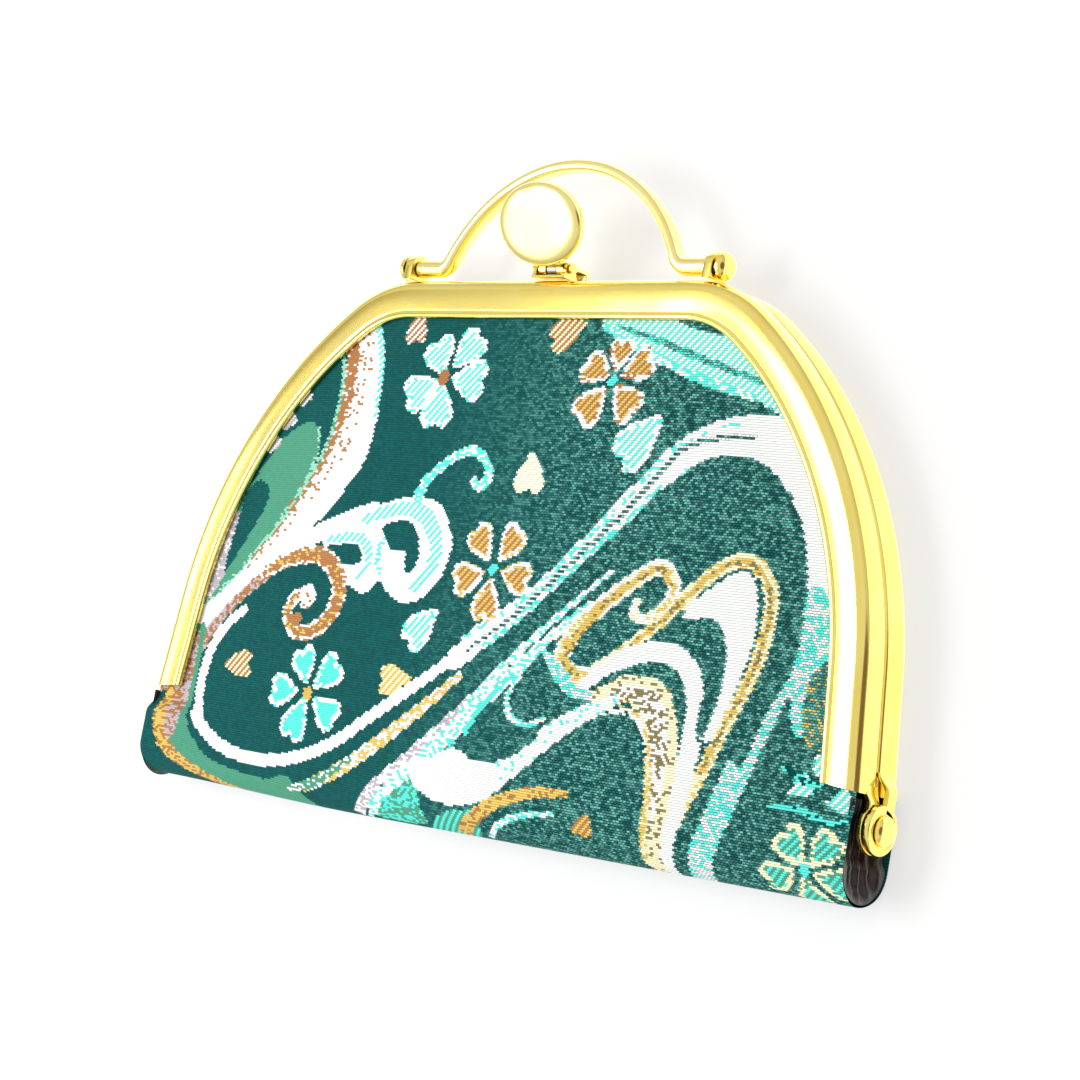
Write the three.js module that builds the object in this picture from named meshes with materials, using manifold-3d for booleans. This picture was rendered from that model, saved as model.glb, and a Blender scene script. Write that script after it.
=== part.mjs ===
// Clasp pouch: a brocade pouch in a comb-shaped metal frame, with an arch handle and a tab latch.
// Millimetres. X runs to the pouch's right, Y towards its top and Z out of its front.
// It lies on its back, closed, with the middle of its footprint at the origin.
// Shapes are drawn with y = 0 at the frame's top edge and z = 0 on the plane where the halves meet.

import * as THREE from "three";
import { mergeVertices } from "three/addons/utils/BufferGeometryUtils.js";
import Module from "manifold-3d";

const wasm = await Module();
wasm.setup();

// Frame outline, seen from the front
const flatTop = 70.6;
const shoulderRadius = 28;
const shoulderTurn = THREE.MathUtils.degToRad(36);
const sideRadius = 88.7;
const sideTurn = THREE.MathUtils.degToRad(47.65);
const sideStraight = 20.2;
const endSlant = 0.21;

// Channel that each half is rolled from
const frameDepth = 13;
const meetGap = 0.3;
const sheet = 0.9;
const faceWidth = 7.8;
const innerWidth = 6.6;
const edgeRadius = 2.4;
const lipWidth = 1.7;
const lipDepth = 1.05;
const lipGroove = 0.28;
const sideBulge = 0.4;

// Clearance between pieces that touch or run in each other
const gap = 0.3;
const runGap = 0.15;

// Hinges at the frame's lower ends
const hingeDrop = 5.5;
const earInset = 0.42;
const earRadius = 4.3;
const earSheet = 1;
const earRim = 0.8;
const earGroove = 0.35;
const strapRun = 3;
const strapInset = 0.02;
const frontStrapRise = 1.5;
const backStrapRise = 4;
const rivetRadius = 1.3;
const rivetHead = 2.6;
const rivetDome = 1.5;
const rivetRim = 0.3;
const rivetTail = 2.2;
const rivetTailHeight = 0.7;

// Cloth and what is clamped with it
const clothThickness = 1.3;
const clothInset = 1.7;
const frontBulge = 1.7;
const backBulge = 0.9;
const bulgeReach = 16;
const liningThickness = 0.6;
const liningSlack = 0.7;
const cordRadius = 0.65;
const cordInset = 3.2;
const clothDrop = 18.6;
const foldStraight = 2.2;
const gussetSheet = 0.7;
const gussetPleat = 3;
const gussetPleats = 4;
const gussetInset = 1.4;
const gussetRise = 2.9;
const gussetDrop = 1.5;

// Arch handle and its lugs
const handleTop = 24.2;
const handleRadius = 32.8;
const handleRise = 2.4;
const handleBreadth = 3.8;
const axleRadius = 1.75;
const axleHeight = 2.9;
const axleFromFront = 3.4;
const pinRadius = 1.1;
const lugPlace = 38.3;
const lugThickness = 2;
const lugRadius = 2.6;
const capRadius = 2.6;
const capHeight = 2;
const capRim = 0.5;

// Tab latch
const tabWidth = 20.7;
const tabHeight = 16;
const tabThickness = 3.5;
const tabLean = THREE.MathUtils.degToRad(23);
const tabRise = 7.3;
const tabForward = 5.9;
const latchWidth = 8.4;
const latchPinRadius = 0.6;
const latchPinHeight = 2.35;
const latchPinFromFront = 2.2;
const cheek = 0.8;
const cheekDepth = 3.8;
const barrelRadius = 1.25;
const hookSheet = 0.8;
const hookReach = 6.7;
const yokeBase = 0.5;
const keeperSheet = 0.35;
const keeperHeight = 1.75;
const springLength = 2.2;
const springPlay = 0.15;
const springLegWidth = 0.5;
const springLegRear = 1.9;
const springLegFront = 0.2;

const halfDepth = frameDepth / 2;
const halfFlat = flatTop / 2;
const meet = meetGap / 2;

// Solid helpers

function volumeOf(geometry) {
  const p = geometry.attributes.position;
  const index = geometry.index.array;
  const [a, b, c] = [new THREE.Vector3(), new THREE.Vector3(), new THREE.Vector3()];
  let sum = 0;
  for (let i = 0; i < index.length; i += 3) {
    a.fromBufferAttribute(p, index[i]);
    b.fromBufferAttribute(p, index[i + 1]);
    c.fromBufferAttribute(p, index[i + 2]);
    sum += a.dot(b.cross(c)) / 6;
  }
  return sum;
}

// Merged vertices, no flat triangles, faces pointing out
function closed(geometry) {
  const bare = geometry.clone();
  bare.deleteAttribute("normal");
  bare.deleteAttribute("uv");
  const merged = mergeVertices(bare, 1e-4);
  const index = [];
  for (let i = 0; i < merged.index.count; i += 3) {
    const [a, b, c] = [0, 1, 2].map((k) => merged.index.getX(i + k));
    if (a !== b && b !== c && c !== a) index.push(a, b, c);
  }
  merged.setIndex(index);
  if (volumeOf(merged) < 0) merged.setIndex(index.reverse());
  return merged;
}

function toManifold(geometry) {
  const g = closed(geometry);
  return new wasm.Manifold(new wasm.Mesh({
    numProp: 3,
    vertProperties: new Float32Array(g.attributes.position.array),
    triVerts: new Uint32Array(g.index.array),
  }));
}

function fromManifold(manifold) {
  const mesh = manifold.getMesh();
  const g = new THREE.BufferGeometry();
  g.setAttribute("position", new THREE.BufferAttribute(new Float32Array(mesh.vertProperties), 3));
  g.setIndex(new THREE.BufferAttribute(new Uint32Array(mesh.triVerts), 1));
  return g;
}

function join(...pieces) {
  return fromManifold(pieces.map(toManifold).reduce((a, b) => a.add(b)));
}

function cut(piece, ...tools) {
  return fromManifold(tools.map(toManifold).reduce((a, b) => a.subtract(b), toManifold(piece)));
}

// Skin through a row of rings with equal point counts, closed by a flat cap at each end
function loft(rings) {
  const centre = (ring) => ring.reduce((s, p) => s.add(p), new THREE.Vector3()).divideScalar(ring.length);
  const area = (ring) => ring.reduce(
    (s, p, i) => s.add(new THREE.Vector3().crossVectors(p, ring[(i + 1) % ring.length])),
    new THREE.Vector3(),
  );
  const along = centre(rings[1]).sub(centre(rings[0]));
  const skins = area(rings[0]).dot(along) < 0 ? rings.map((r) => [...r].reverse()) : rings;
  const n = skins[0].length;
  const index = [];
  for (let k = 0; k + 1 < skins.length; k++) {
    for (let i = 0; i < n; i++) {
      const [a, b] = [k * n + i, k * n + ((i + 1) % n)];
      index.push(a, b, b + n, a, b + n, a + n);
    }
  }
  const cap = (ring, first, outward) => {
    const normal = area(ring).normalize();
    const u = new THREE.Vector3().subVectors(ring[1], ring[0]).normalize();
    const v = new THREE.Vector3().crossVectors(normal, u);
    const flat = ring.map((p) => new THREE.Vector2(p.dot(u), p.dot(v)));
    for (const [a, b, c] of THREE.ShapeUtils.triangulateShape(flat, [])) {
      const turn = flat[b].clone().sub(flat[a]).cross(flat[c].clone().sub(flat[a]));
      if (turn > 0 === outward) index.push(first + a, first + b, first + c);
      else index.push(first + a, first + c, first + b);
    }
  };
  cap(skins[0], 0, false);
  cap(skins.at(-1), (skins.length - 1) * n, true);
  const g = new THREE.BufferGeometry().setFromPoints(skins.flat());
  g.setIndex(index);
  return g;
}

// Points of a profile in y and z, pushed along X from x0 to x1
function alongX(points, x0, x1) {
  return loft([x0, x1].map((x) => points.map(([y, z]) => new THREE.Vector3(x, y, z))));
}

// Points of a profile in x and y, pushed along Z from z0 to z1
function alongZ(points, z0, z1) {
  return loft([z0, z1].map((z) => points.map(([x, y]) => new THREE.Vector3(x, y, z))));
}

// Profile of [radius, x] pairs turned about an axis along X through (y, z)
function turned(profile, y, z, segments = 24) {
  const points = profile.map(([r, x]) => new THREE.Vector2(r, x));
  return new THREE.LatheGeometry(points, segments).rotateZ(-Math.PI / 2).translate(0, y, z);
}

function cylinderX(radius, x0, x1, y, z, segments = 24) {
  return turned([[0, x0], [radius, x0], [radius, x1], [0, x1]], y, z, segments);
}

function mirrored(geometry, axis) {
  const scale = { x: [-1, 1, 1], z: [1, 1, -1] }[axis];
  return closed(geometry.clone().scale(...scale));
}

function arcPoints(cy, cz, radius, from, to, steps) {
  return Array.from({ length: steps + 1 }, (_, i) => {
    const a = THREE.MathUtils.lerp(from, to, i / steps);
    return [cy + radius * Math.cos(a), cz + radius * Math.sin(a)];
  });
}

// Frame outline: two tangent arcs and a straight, measured from the middle of the top
const shoulderCentre = new THREE.Vector2(halfFlat, -shoulderRadius);
const lastTurn = shoulderTurn + sideTurn;
const headingOut = (turn) => new THREE.Vector2(Math.sin(turn), Math.cos(turn));
const sideCentre = shoulderCentre.clone()
  .addScaledVector(headingOut(shoulderTurn), shoulderRadius - sideRadius);
const sideEnd = sideCentre.clone().addScaledVector(headingOut(lastTurn), sideRadius);
const straightRun = new THREE.Vector2(Math.cos(lastTurn), -Math.sin(lastTurn));
const frameEnd = sideEnd.clone().addScaledVector(straightRun, sideStraight);

function halfStations() {
  const stations = [];
  const arc = (c, radius, from, to, steps) => {
    for (let i = 0; i <= steps; i++) {
      const out = headingOut(THREE.MathUtils.lerp(from, to, i / steps));
      stations.push({ at: c.clone().addScaledVector(out, radius), inward: out.clone().negate() });
    }
  };
  arc(shoulderCentre, shoulderRadius, 0, shoulderTurn, 6);
  stations.pop();
  arc(sideCentre, sideRadius, shoulderTurn, lastTurn, 9);
  const inward = headingOut(lastTurn).negate().addScaledVector(straightRun, -endSlant);
  stations.push({ at: frameEnd.clone(), inward });
  return stations;
}

const rightStations = halfStations();
const leftStations = rightStations.map(({ at, inward }) => ({
  at: new THREE.Vector2(-at.x, at.y),
  inward: new THREE.Vector2(-inward.x, inward.y),
})).reverse();
const stations = [...leftStations, ...rightStations];

// A section of [inset, z] pairs carried along the whole outline
function alongFrame(section) {
  return loft(stations.map(({ at, inward }) => section.map(([s, z]) => new THREE.Vector3(
    at.x + inward.x * s,
    at.y + inward.y * s,
    z,
  ))));
}

// How far a point lies inside the outline
function depthInside(x, y) {
  const p = new THREE.Vector2(Math.abs(x), y);
  if (p.x <= halfFlat) return -y;
  const fromShoulder = p.clone().sub(shoulderCentre);
  if (Math.atan2(fromShoulder.x, fromShoulder.y) <= shoulderTurn) {
    return shoulderRadius - fromShoulder.length();
  }
  const fromSide = p.clone().sub(sideCentre);
  if (Math.atan2(fromSide.x, fromSide.y) <= lastTurn) return sideRadius - fromSide.length();
  return p.sub(frameEnd).dot(headingOut(lastTurn).negate());
}

// Half the width, at height y, of the outline drawn in by inset
function halfWidthAt(y, inset) {
  let [low, high] = [0, frameEnd.x + sideRadius];
  for (let i = 0; i < 40; i++) {
    const x = (low + high) / 2;
    if (depthInside(x, y) > inset) low = x;
    else high = x;
  }
  return low;
}

// Places that several pieces share
const hingeY = frameEnd.y - hingeDrop;
const frontEar = frameEnd.x - earInset;
const backEar = frontEar + earSheet + gap;
const clothHalf = frontEar - gap - 0.1;
const bottomY = frameEnd.y - clothDrop;
const axleZ = halfDepth - axleFromFront;
const latchZ = halfDepth - latchPinFromFront;

function channelSection() {
  const face = halfDepth;
  const inner = edgeRadius - sheet;
  const bend = halfDepth - edgeRadius;
  const lipStart = faceWidth - lipWidth;
  const roundOut = arcPoints(edgeRadius, bend, edgeRadius, Math.PI, Math.PI / 2, 5);
  const roundIn = arcPoints(edgeRadius, bend, inner, Math.PI / 2, Math.PI, 3);
  return [
    [innerWidth, meet],
    [sheet, meet],
    [sideBulge, meet + 0.45],
    [sideBulge / 6, meet + 1.6],
    ...roundOut,
    [lipStart, face],
    [lipStart + lipGroove, face - lipGroove],
    [lipStart + 2 * lipGroove, face],
    [faceWidth - 0.45, face],
    [faceWidth, face - 0.45],
    [faceWidth - 0.1, face - lipDepth],
    [faceWidth - 0.8, face - lipDepth],
    [faceWidth - 1.1, face - sheet],
    ...roundIn,
    [sheet, meet + sheet + 0.4],
    [sheet + 0.4, meet + sheet],
    [innerWidth, meet + sheet],
  ];
}

// Flat ear at x0, on a strap that leaves the channel's wall at a height rise above the frame's end
function ear(x0, rise) {
  const bend = halfDepth - edgeRadius;
  const across = (y, x) => [[x, meet], [x + earSheet, meet], [x + earSheet, bend], [x, bend]]
    .map(([px, pz]) => new THREE.Vector3(px, y, pz));
  const leaving = frameEnd.y + rise;
  const strap = loft([
    across(leaving, halfWidthAt(leaving, 0) - earSheet - strapInset),
    across(leaving - strapRun, x0),
    across(hingeY, x0),
  ]);
  return join(cylinderX(earRadius, x0, x0 + earSheet, hingeY, 0, 32), strap);
}

function rivetHole() {
  return cylinderX(rivetRadius + runGap, frontEar - 5, backEar + 5, hingeY, 0);
}

function frontFrame() {
  const right = ear(frontEar, frontStrapRise);
  const body = join(alongFrame(channelSection()), right, mirrored(right, "x"));
  return cut(body, rivetHole(), mirrored(rivetHole(), "x"));
}

function backFrame() {
  const earOut = backEar + earSheet;
  const groove = turned([
    [rivetHead + gap, earOut - earGroove],
    [earRadius - earRim, earOut - earGroove],
    [earRadius - earRim, earOut + 1],
    [rivetHead + gap, earOut + 1],
    [rivetHead + gap, earOut - earGroove],
  ], hingeY, 0, 32);
  const right = cut(ear(backEar, backStrapRise), groove);
  const body = join(alongFrame(channelSection()), right, mirrored(right, "x"));
  return mirrored(cut(body, rivetHole(), mirrored(rivetHole(), "x")), "z");
}

// Domed outside, peened flat inside
function rivet() {
  const headFace = backEar + earSheet + gap;
  const tailFace = frontEar - gap;
  const dome = arcPoints(0, 0, 1, 0, Math.PI / 2, 5)
    .map(([c, s]) => [rivetHead * c, headFace + rivetRim + (rivetDome - rivetRim) * s]);
  return turned([
    [0, tailFace - rivetTailHeight],
    [rivetTail, tailFace - rivetTailHeight],
    [rivetTail, tailFace],
    [rivetRadius, tailFace],
    [rivetRadius, headFace],
    [rivetHead, headFace],
    ...dome,
  ], hingeY, 0);
}

// Cloth: a sheet of even thickness over rows of y, its outer face given by z(x, y)
function clothSheet(rows, columns, halfWidth, outer, thickness) {
  const grid = (lift) => rows.map((y) => Array.from({ length: columns + 1 }, (_, i) => {
    const x = halfWidth(y) * (2 * i / columns - 1);
    return new THREE.Vector3(x, y, outer(x, y) - lift);
  }));
  const rings = grid(0).map((row, k) => [...row, ...[...grid(thickness)[k]].reverse()]);
  return loft(rings);
}

const smooth = (value, from, reach) => THREE.MathUtils.smoothstep(value, from, from + reach);

// Height of the cloth's swell: none inside the channel, full in the middle and below the frame
function swell(x, y) {
  const clear = faceWidth + 0.7;
  const inside = smooth(depthInside(x, y), clear, bulgeReach);
  const below = smooth(-y, -frameEnd.y + 1.5, 4);
  return Math.max(inside, below);
}

const clothFace = halfDepth - lipDepth - gap;
const foldRadius = clothFace + (frontBulge + backBulge) / 2;
const foldCentre = bottomY + foldRadius;
const foldTop = foldCentre + foldStraight;

// Rows of the cloth's mesh: shares of the frame's height, then of the way from its ends to the turn
const clothRows = [
  ...[0.05, 0.098, 0.137, 0.183, 0.24, 0.32, 0.42, 0.55, 0.69, 0.82, 0.935, 0.991].map((t) => frameEnd.y * t),
  ...[0.17, 0.34, 0.61, 1].map((t) => THREE.MathUtils.lerp(frameEnd.y, foldTop + gap, t)),
];

function panel(bulge) {
  const half = (y) => Math.min(halfWidthAt(y, clothInset), clothHalf);
  const outer = (x, y) => clothFace + bulge * swell(x, y);
  return clothSheet([-clothInset - 0.01, ...clothRows], 16, half, outer, clothThickness);
}

const liningFace = clothFace - clothThickness - gap;
const gussetRoot = clothHalf - gap - gussetInset - gussetPleat - gussetSheet;

function lining(bulge) {
  const half = (y) => (y > frameEnd.y + 3 ? halfWidthAt(y, clothInset + 0.5) : gussetRoot - gap - 0.2);
  const outer = (x, y) => liningFace + (bulge - liningSlack) * swell(x, y);
  return clothSheet([-clothInset - 0.51, ...clothRows], 12, half, outer, liningThickness);
}

function clampCord() {
  const middle = meet + sheet + gap + cordRadius;
  return alongFrame(arcPoints(cordInset, middle, cordRadius, 0, 2 * Math.PI, 6).slice(0, -1));
}

// The outer cloth's turn under the pouch, from the front panel's edge to the back panel's
function bottomFold() {
  const front = clothFace + frontBulge;
  const back = -clothFace - backBulge;
  const middle = (front + back) / 2;
  const turn = (r, from, to) => arcPoints(foldCentre, middle, r, from, to, 12);
  const quarter = Math.PI / 2;
  return alongX([
    [foldTop, front],
    ...turn(foldRadius, quarter, 3 * quarter),
    [foldTop, back],
    [foldTop, back + clothThickness],
    ...turn(foldRadius - clothThickness, 3 * quarter, quarter),
    [foldTop, front - clothThickness],
  ], -clothHalf, clothHalf);
}

// Pleated end piece below the hinge, for the right side
function gusset() {
  const reach = clothFace - clothThickness - gap;
  const steps = gussetPleats;
  const fold = (i, shift) => [
    gussetRoot + shift + (i % 2 ? gussetPleat : 0),
    THREE.MathUtils.lerp(reach, -reach, i / steps),
  ];
  const outside = Array.from({ length: steps + 1 }, (_, i) => fold(i, gussetSheet));
  const inside = Array.from({ length: steps + 1 }, (_, i) => fold(steps - i, 0));
  const top = frameEnd.y - gussetDrop;
  const low = bottomY + clothThickness + gussetRise;
  return loft([top, low].map((y) => [...outside, ...inside].map(([x, z]) => new THREE.Vector3(x, y, z))));
}

// Handle: an arch that turns outward into an axle at each foot
function handleArch() {
  const radius = handleRadius - handleRise / 2;
  const centreY = handleTop - handleRadius - axleHeight;
  const footTurn = Math.acos(-centreY / radius);
  const startTurn = footTurn - 0.075;
  const onArch = (a) => new THREE.Vector2(radius * Math.sin(a), centreY + radius * Math.cos(a));
  const corner = new THREE.Vector2(radius * Math.sin(footTurn), 0);
  const axleIn = corner.x + 2.2;
  const axleOut = lugPlace - lugThickness / 2 - gap;
  const bend = new THREE.QuadraticBezierCurve(new THREE.Vector2(axleIn, 0), corner, onArch(startTurn));
  const path = [];
  const put = (at, tangent, round) => path.push({ at, tangent, round });
  put(new THREE.Vector2(axleOut, 0), new THREE.Vector2(-1, 0), 1);
  for (let i = 0; i < 5; i++) put(bend.getPoint(i / 5), bend.getTangent(i / 5), 1 - i / 5);
  const steps = 20;
  for (let i = 0; i <= steps; i++) {
    const a = THREE.MathUtils.lerp(startTurn, -startTurn, i / steps);
    put(onArch(a), new THREE.Vector2(-Math.cos(a), Math.sin(a)), 0);
  }
  for (let i = 4; i >= 0; i--) {
    const { x, y } = path[i + 1].at;
    const t = path[i + 1].tangent;
    put(new THREE.Vector2(-x, y), new THREE.Vector2(t.x, -t.y), path[i + 1].round);
  }
  put(new THREE.Vector2(-axleOut, 0), new THREE.Vector2(-1, 0), 1);
  const rings = path.map(({ at, tangent, round }) => {
    const rise = THREE.MathUtils.lerp(handleRise / 2, axleRadius, round);
    const breadth = THREE.MathUtils.lerp(handleBreadth / 2, axleRadius, round);
    return arcPoints(0, 0, 1, 0, 2 * Math.PI, 12).slice(0, -1).map(([c, s]) => new THREE.Vector3(
      at.x - tangent.y * rise * c,
      at.y + tangent.x * rise * c,
      breadth * s,
    ));
  });
  const pinEnd = lugPlace + lugThickness / 2 + gap;
  const pin = cylinderX(pinRadius, axleOut - 1, pinEnd, 0, 0, 16);
  return join(loft(rings), pin, mirrored(pin, "x"));
}

function handleCap() {
  const face = lugPlace + lugThickness / 2 + 2 * gap;
  const dome = arcPoints(0, 0, 1, 0, Math.PI / 2, 5)
    .map(([c, s]) => [capRadius * c, face + capRim + (capHeight - capRim) * s]);
  return turned([[0, face], [capRadius, face], ...dome], 0, 0);
}

// Round-topped lug standing on the front half, bored for the handle's pin
function handleLug() {
  const foot = -axleHeight + gap;
  const outline = [
    [foot, -lugRadius],
    [foot, lugRadius],
    ...arcPoints(0, 0, lugRadius, Math.PI / 2, -Math.PI / 2, 12),
  ];
  const [x0, x1] = [lugPlace - lugThickness / 2, lugPlace + lugThickness / 2];
  return cut(alongX(outline, x0, x1), cylinderX(pinRadius + runGap, x0 - 1, x1 + 1, 0, 0, 16));
}

// Latch, drawn about its pin
const inCheeks = latchWidth / 2 - cheek - gap;

function latchYoke() {
  const foot = -latchPinHeight + gap;
  const [front, rear] = [latchPinFromFront - 0.6, latchPinFromFront - 0.6 - cheekDepth];
  const side = [
    [foot, front],
    [foot, rear],
    ...arcPoints(0, 0, barrelRadius, -Math.PI / 2, Math.PI / 2, 8),
  ];
  const cheekAt = (x) => alongX(side, x, x + cheek);
  const sole = [[foot, front], [foot, rear], [foot + yokeBase, rear], [foot + yokeBase, front]];
  const base = alongX(sole, -latchWidth / 2, latchWidth / 2);
  const body = join(base, cheekAt(-latchWidth / 2), cheekAt(latchWidth / 2 - cheek));
  return cut(body, cylinderX(latchPinRadius + runGap, -latchWidth, latchWidth, 0, 0, 12));
}

function latchPin() {
  const end = latchWidth / 2 + gap;
  const head = latchPinRadius + 0.4;
  return turned([
    [0, -end - 0.4],
    [head, -end - 0.4],
    [head, -end],
    [latchPinRadius, -end],
    [latchPinRadius, end],
    [head, end],
    [head, end + 0.4],
    [0, end + 0.4],
  ], 0, 0, 12);
}

function latchTab() {
  const edge = arcPoints(0, 0, 1, -Math.PI / 2, Math.PI / 2, 10);
  const profile = edge.map(([c, s]) => new THREE.Vector2(c ** 0.45, Math.sign(s) * Math.abs(s) ** 1.15));
  const disc = new THREE.LatheGeometry(profile, 36)
    .scale(tabWidth / 2, tabThickness / 2, tabHeight / 2)
    .rotateX(Math.PI / 2)
    .rotateX(tabLean)
    .translate(0, tabRise, tabForward);
  const hookTop = barrelRadius - 0.1;
  const lipLow = -latchPinHeight + gap + keeperSheet + gap;
  const hook = alongX([
    [0, 0],
    [hookTop, 0],
    [hookTop, -hookReach],
    [lipLow, -hookReach],
    [lipLow, -hookReach + hookSheet],
    [hookTop - hookSheet, -hookReach + hookSheet + 0.15],
    [hookTop - hookSheet, -barrelRadius - 0.2],
  ], -inCheeks, inCheeks);
  const neckTop = [tabRise - tabHeight * 0.34, tabForward - tabHeight * 0.14];
  const neck = alongX([
    [-0.2, 0],
    [hookTop, -0.3],
    [hookTop + 0.5, 1.3],
    [neckTop[0], neckTop[1] - 0.6],
    [neckTop[0] - 0.9, neckTop[1] + 1],
    [0.1, 2.6],
  ], -inCheeks, inCheeks);
  const barrel = cylinderX(barrelRadius, -inCheeks, inCheeks, 0, 0, 20);
  const bore = cylinderX(latchPinRadius + runGap, -latchWidth, latchWidth, 0, 0, 12);
  const roomEnd = springLength / 2 + gap;
  const springRoom = cylinderX(barrelRadius + springPlay, -roomEnd, roomEnd, 0, 0, 20);
  return cut(join(disc, hook, neck, barrel), springRoom, bore);
}

// Torsion spring on the pin: its turns as one sleeve, and a leg to the yoke
function latchSpring() {
  const [inner, outer] = [latchPinRadius + runGap, barrelRadius - springPlay];
  const half = springLength / 2;
  const wall = [[inner, -half], [outer, -half], [outer, half], [inner, half], [inner, -half]];
  const coil = turned(wall, 0, 0, 20);
  const legLow = -latchPinHeight + gap + yokeBase + gap;
  const legTop = -outer + 0.1;
  const [legFront, legRear] = [-springLegFront, -springLegRear];
  const side = [[legTop, legFront], [legTop, legRear], [legLow, legRear], [legLow, legFront]];
  const leg = alongX(side, -half, -half + springLegWidth);
  return join(coil, leg);
}

// Bent strip on the back half whose nub the hook's lip drops behind
function latchKeeper() {
  const foot = gap;
  const nubBack = latchZ - hookReach + hookSheet + gap;
  return alongX([
    [foot, nubBack - 3],
    [foot, nubBack + 0.9],
    [keeperHeight - 0.3, nubBack + 0.9],
    [keeperHeight, nubBack + 0.6],
    [keeperHeight, nubBack],
    [foot + keeperSheet, nubBack],
    [foot + keeperSheet, nubBack - 3],
  ], -inCheeks, inCheeks);
}

// Materials

const gold = new THREE.MeshStandardMaterial({ color: 0xf2cf62, roughness: 0.16, metalness: 1 });
const paleGold = new THREE.MeshStandardMaterial({ color: 0xf6e7a0, roughness: 0.3, metalness: 1 });
const steel = new THREE.MeshStandardMaterial({ color: 0xb9b9b4, roughness: 0.3, metalness: 1 });
const brocade = new THREE.MeshStandardMaterial({ color: 0x0b5f62, roughness: 0.6, metalness: 0.1 });
const satin = new THREE.MeshStandardMaterial({ color: 0x241a18, roughness: 0.45, metalness: 0 });
const paper = new THREE.MeshStandardMaterial({ color: 0xcbb994, roughness: 0.9, metalness: 0 });

function piece(name, geometry, material) {
  const mesh = new THREE.Mesh(closed(geometry), material.clone());
  mesh.name = name;
  return mesh;
}

// Assembly

const pouch = new THREE.Group();
const middleY = (handleTop + bottomY) / 2;
pouch.position.set(0, -middleY, halfDepth);

pouch.add(
  piece("back_frame", backFrame(), gold),
  piece("hinge_rivet_right", rivet(), gold),
  piece("hinge_rivet_left", mirrored(rivet(), "x"), gold),
  piece("latch_keeper", latchKeeper(), gold),
  piece("back_panel", mirrored(panel(backBulge), "z"), brocade),
  piece("back_lining", mirrored(lining(backBulge), "z"), satin),
  piece("back_cord", mirrored(clampCord(), "z"), paper),
  piece("bottom_fold", bottomFold(), brocade),
  piece("gusset_right", gusset(), satin),
  piece("gusset_left", mirrored(gusset(), "x"), satin),
);

const frontHalf = new THREE.Group();
frontHalf.add(
  piece("front_frame", frontFrame(), gold),
  piece("front_panel", panel(frontBulge), brocade),
  piece("front_lining", lining(frontBulge), satin),
  piece("front_cord", clampCord(), paper),
);
pouch.add(frontHalf);

const handle = new THREE.Group();
handle.position.set(0, axleHeight, axleZ);
handle.add(
  piece("handle_arch", handleArch(), gold),
  piece("handle_cap_right", handleCap(), gold),
  piece("handle_cap_left", mirrored(handleCap(), "x"), gold),
);
frontHalf.add(handle);

const lugs = new THREE.Group();
lugs.position.copy(handle.position);
lugs.add(
  piece("handle_lug_right", handleLug(), gold),
  piece("handle_lug_left", mirrored(handleLug(), "x"), gold),
);
frontHalf.add(lugs);

const latch = new THREE.Group();
latch.position.set(0, latchPinHeight, latchZ);
latch.add(
  piece("latch_yoke", latchYoke(), gold),
  piece("latch_pin", latchPin(), gold),
  piece("latch_tab", latchTab(), paleGold),
  piece("latch_spring", latchSpring(), steel),
);
frontHalf.add(latch);

export default pouch;
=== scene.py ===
"""Looks of the clasp pouch: gilt comb frame, water and blossom brocade, satin lining and gussets.

Shapes are drawn in millimetres with y = 0 at the frame's top edge and z = 0 where the halves meet.
"""

from math import acos, atan2, copysign, cos, pi, radians, sin, sqrt, tan

import bpy
import numpy as np
from mathutils import Matrix, Vector


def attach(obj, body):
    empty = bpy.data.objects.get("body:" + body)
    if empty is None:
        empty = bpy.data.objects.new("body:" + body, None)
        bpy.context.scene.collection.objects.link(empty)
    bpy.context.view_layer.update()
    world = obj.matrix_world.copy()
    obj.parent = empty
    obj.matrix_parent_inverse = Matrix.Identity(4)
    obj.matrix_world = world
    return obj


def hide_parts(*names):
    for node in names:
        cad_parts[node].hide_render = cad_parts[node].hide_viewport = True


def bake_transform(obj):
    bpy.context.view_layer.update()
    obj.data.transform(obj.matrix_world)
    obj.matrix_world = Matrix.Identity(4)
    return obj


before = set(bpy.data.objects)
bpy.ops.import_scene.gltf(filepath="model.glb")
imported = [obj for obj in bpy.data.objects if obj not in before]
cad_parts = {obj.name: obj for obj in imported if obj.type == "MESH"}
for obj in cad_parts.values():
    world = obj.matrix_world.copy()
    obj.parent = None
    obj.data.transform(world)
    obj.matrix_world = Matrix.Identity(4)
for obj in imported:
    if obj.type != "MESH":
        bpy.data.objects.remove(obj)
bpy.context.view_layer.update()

MM = 0.001
ROW_Y = 40.8865
ROW_Z = 6.5

# The frame's outline and the channel it is rolled from, as in the CAD model
HALF_FLAT = 35.3
SHOULDER_RADIUS = 28
SHOULDER_TURN = radians(36)
SIDE_RADIUS = 88.7
SIDE_TURN = radians(47.65)
SIDE_STRAIGHT = 20.2
END_SLANT = 0.21
HALF_DEPTH = 6.5
MEET = 0.15
SHEET = 0.9
FACE_WIDTH = 7.8
INNER_WIDTH = 6.6
EDGE_RADIUS = 2.4
LIP_RADIUS = 0.55
LIP_DEPTH = 1.05
GAP = 0.3
HINGE_DROP = 5.5
EAR_INSET = 0.42
EAR_RADIUS = 4.3
EAR_SHEET = 1.0
EAR_RIM = 0.8
STRAP_RUN = 3
FRONT_STRAP_RISE = 1.5
BACK_STRAP_RISE = 4
STRAP_TAPER = 1.4
RIVET_HEAD = 2.6
RIVET_DOME = 1.5
RIVET_RADIUS = 1.3
RIVET_TAIL = 2.2
RIVET_TAIL_HEIGHT = 0.7
CLOTH_DROP = 18.6
CLOTH_INSET = 1.7
CLOTH_FACE = 5.15
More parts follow.
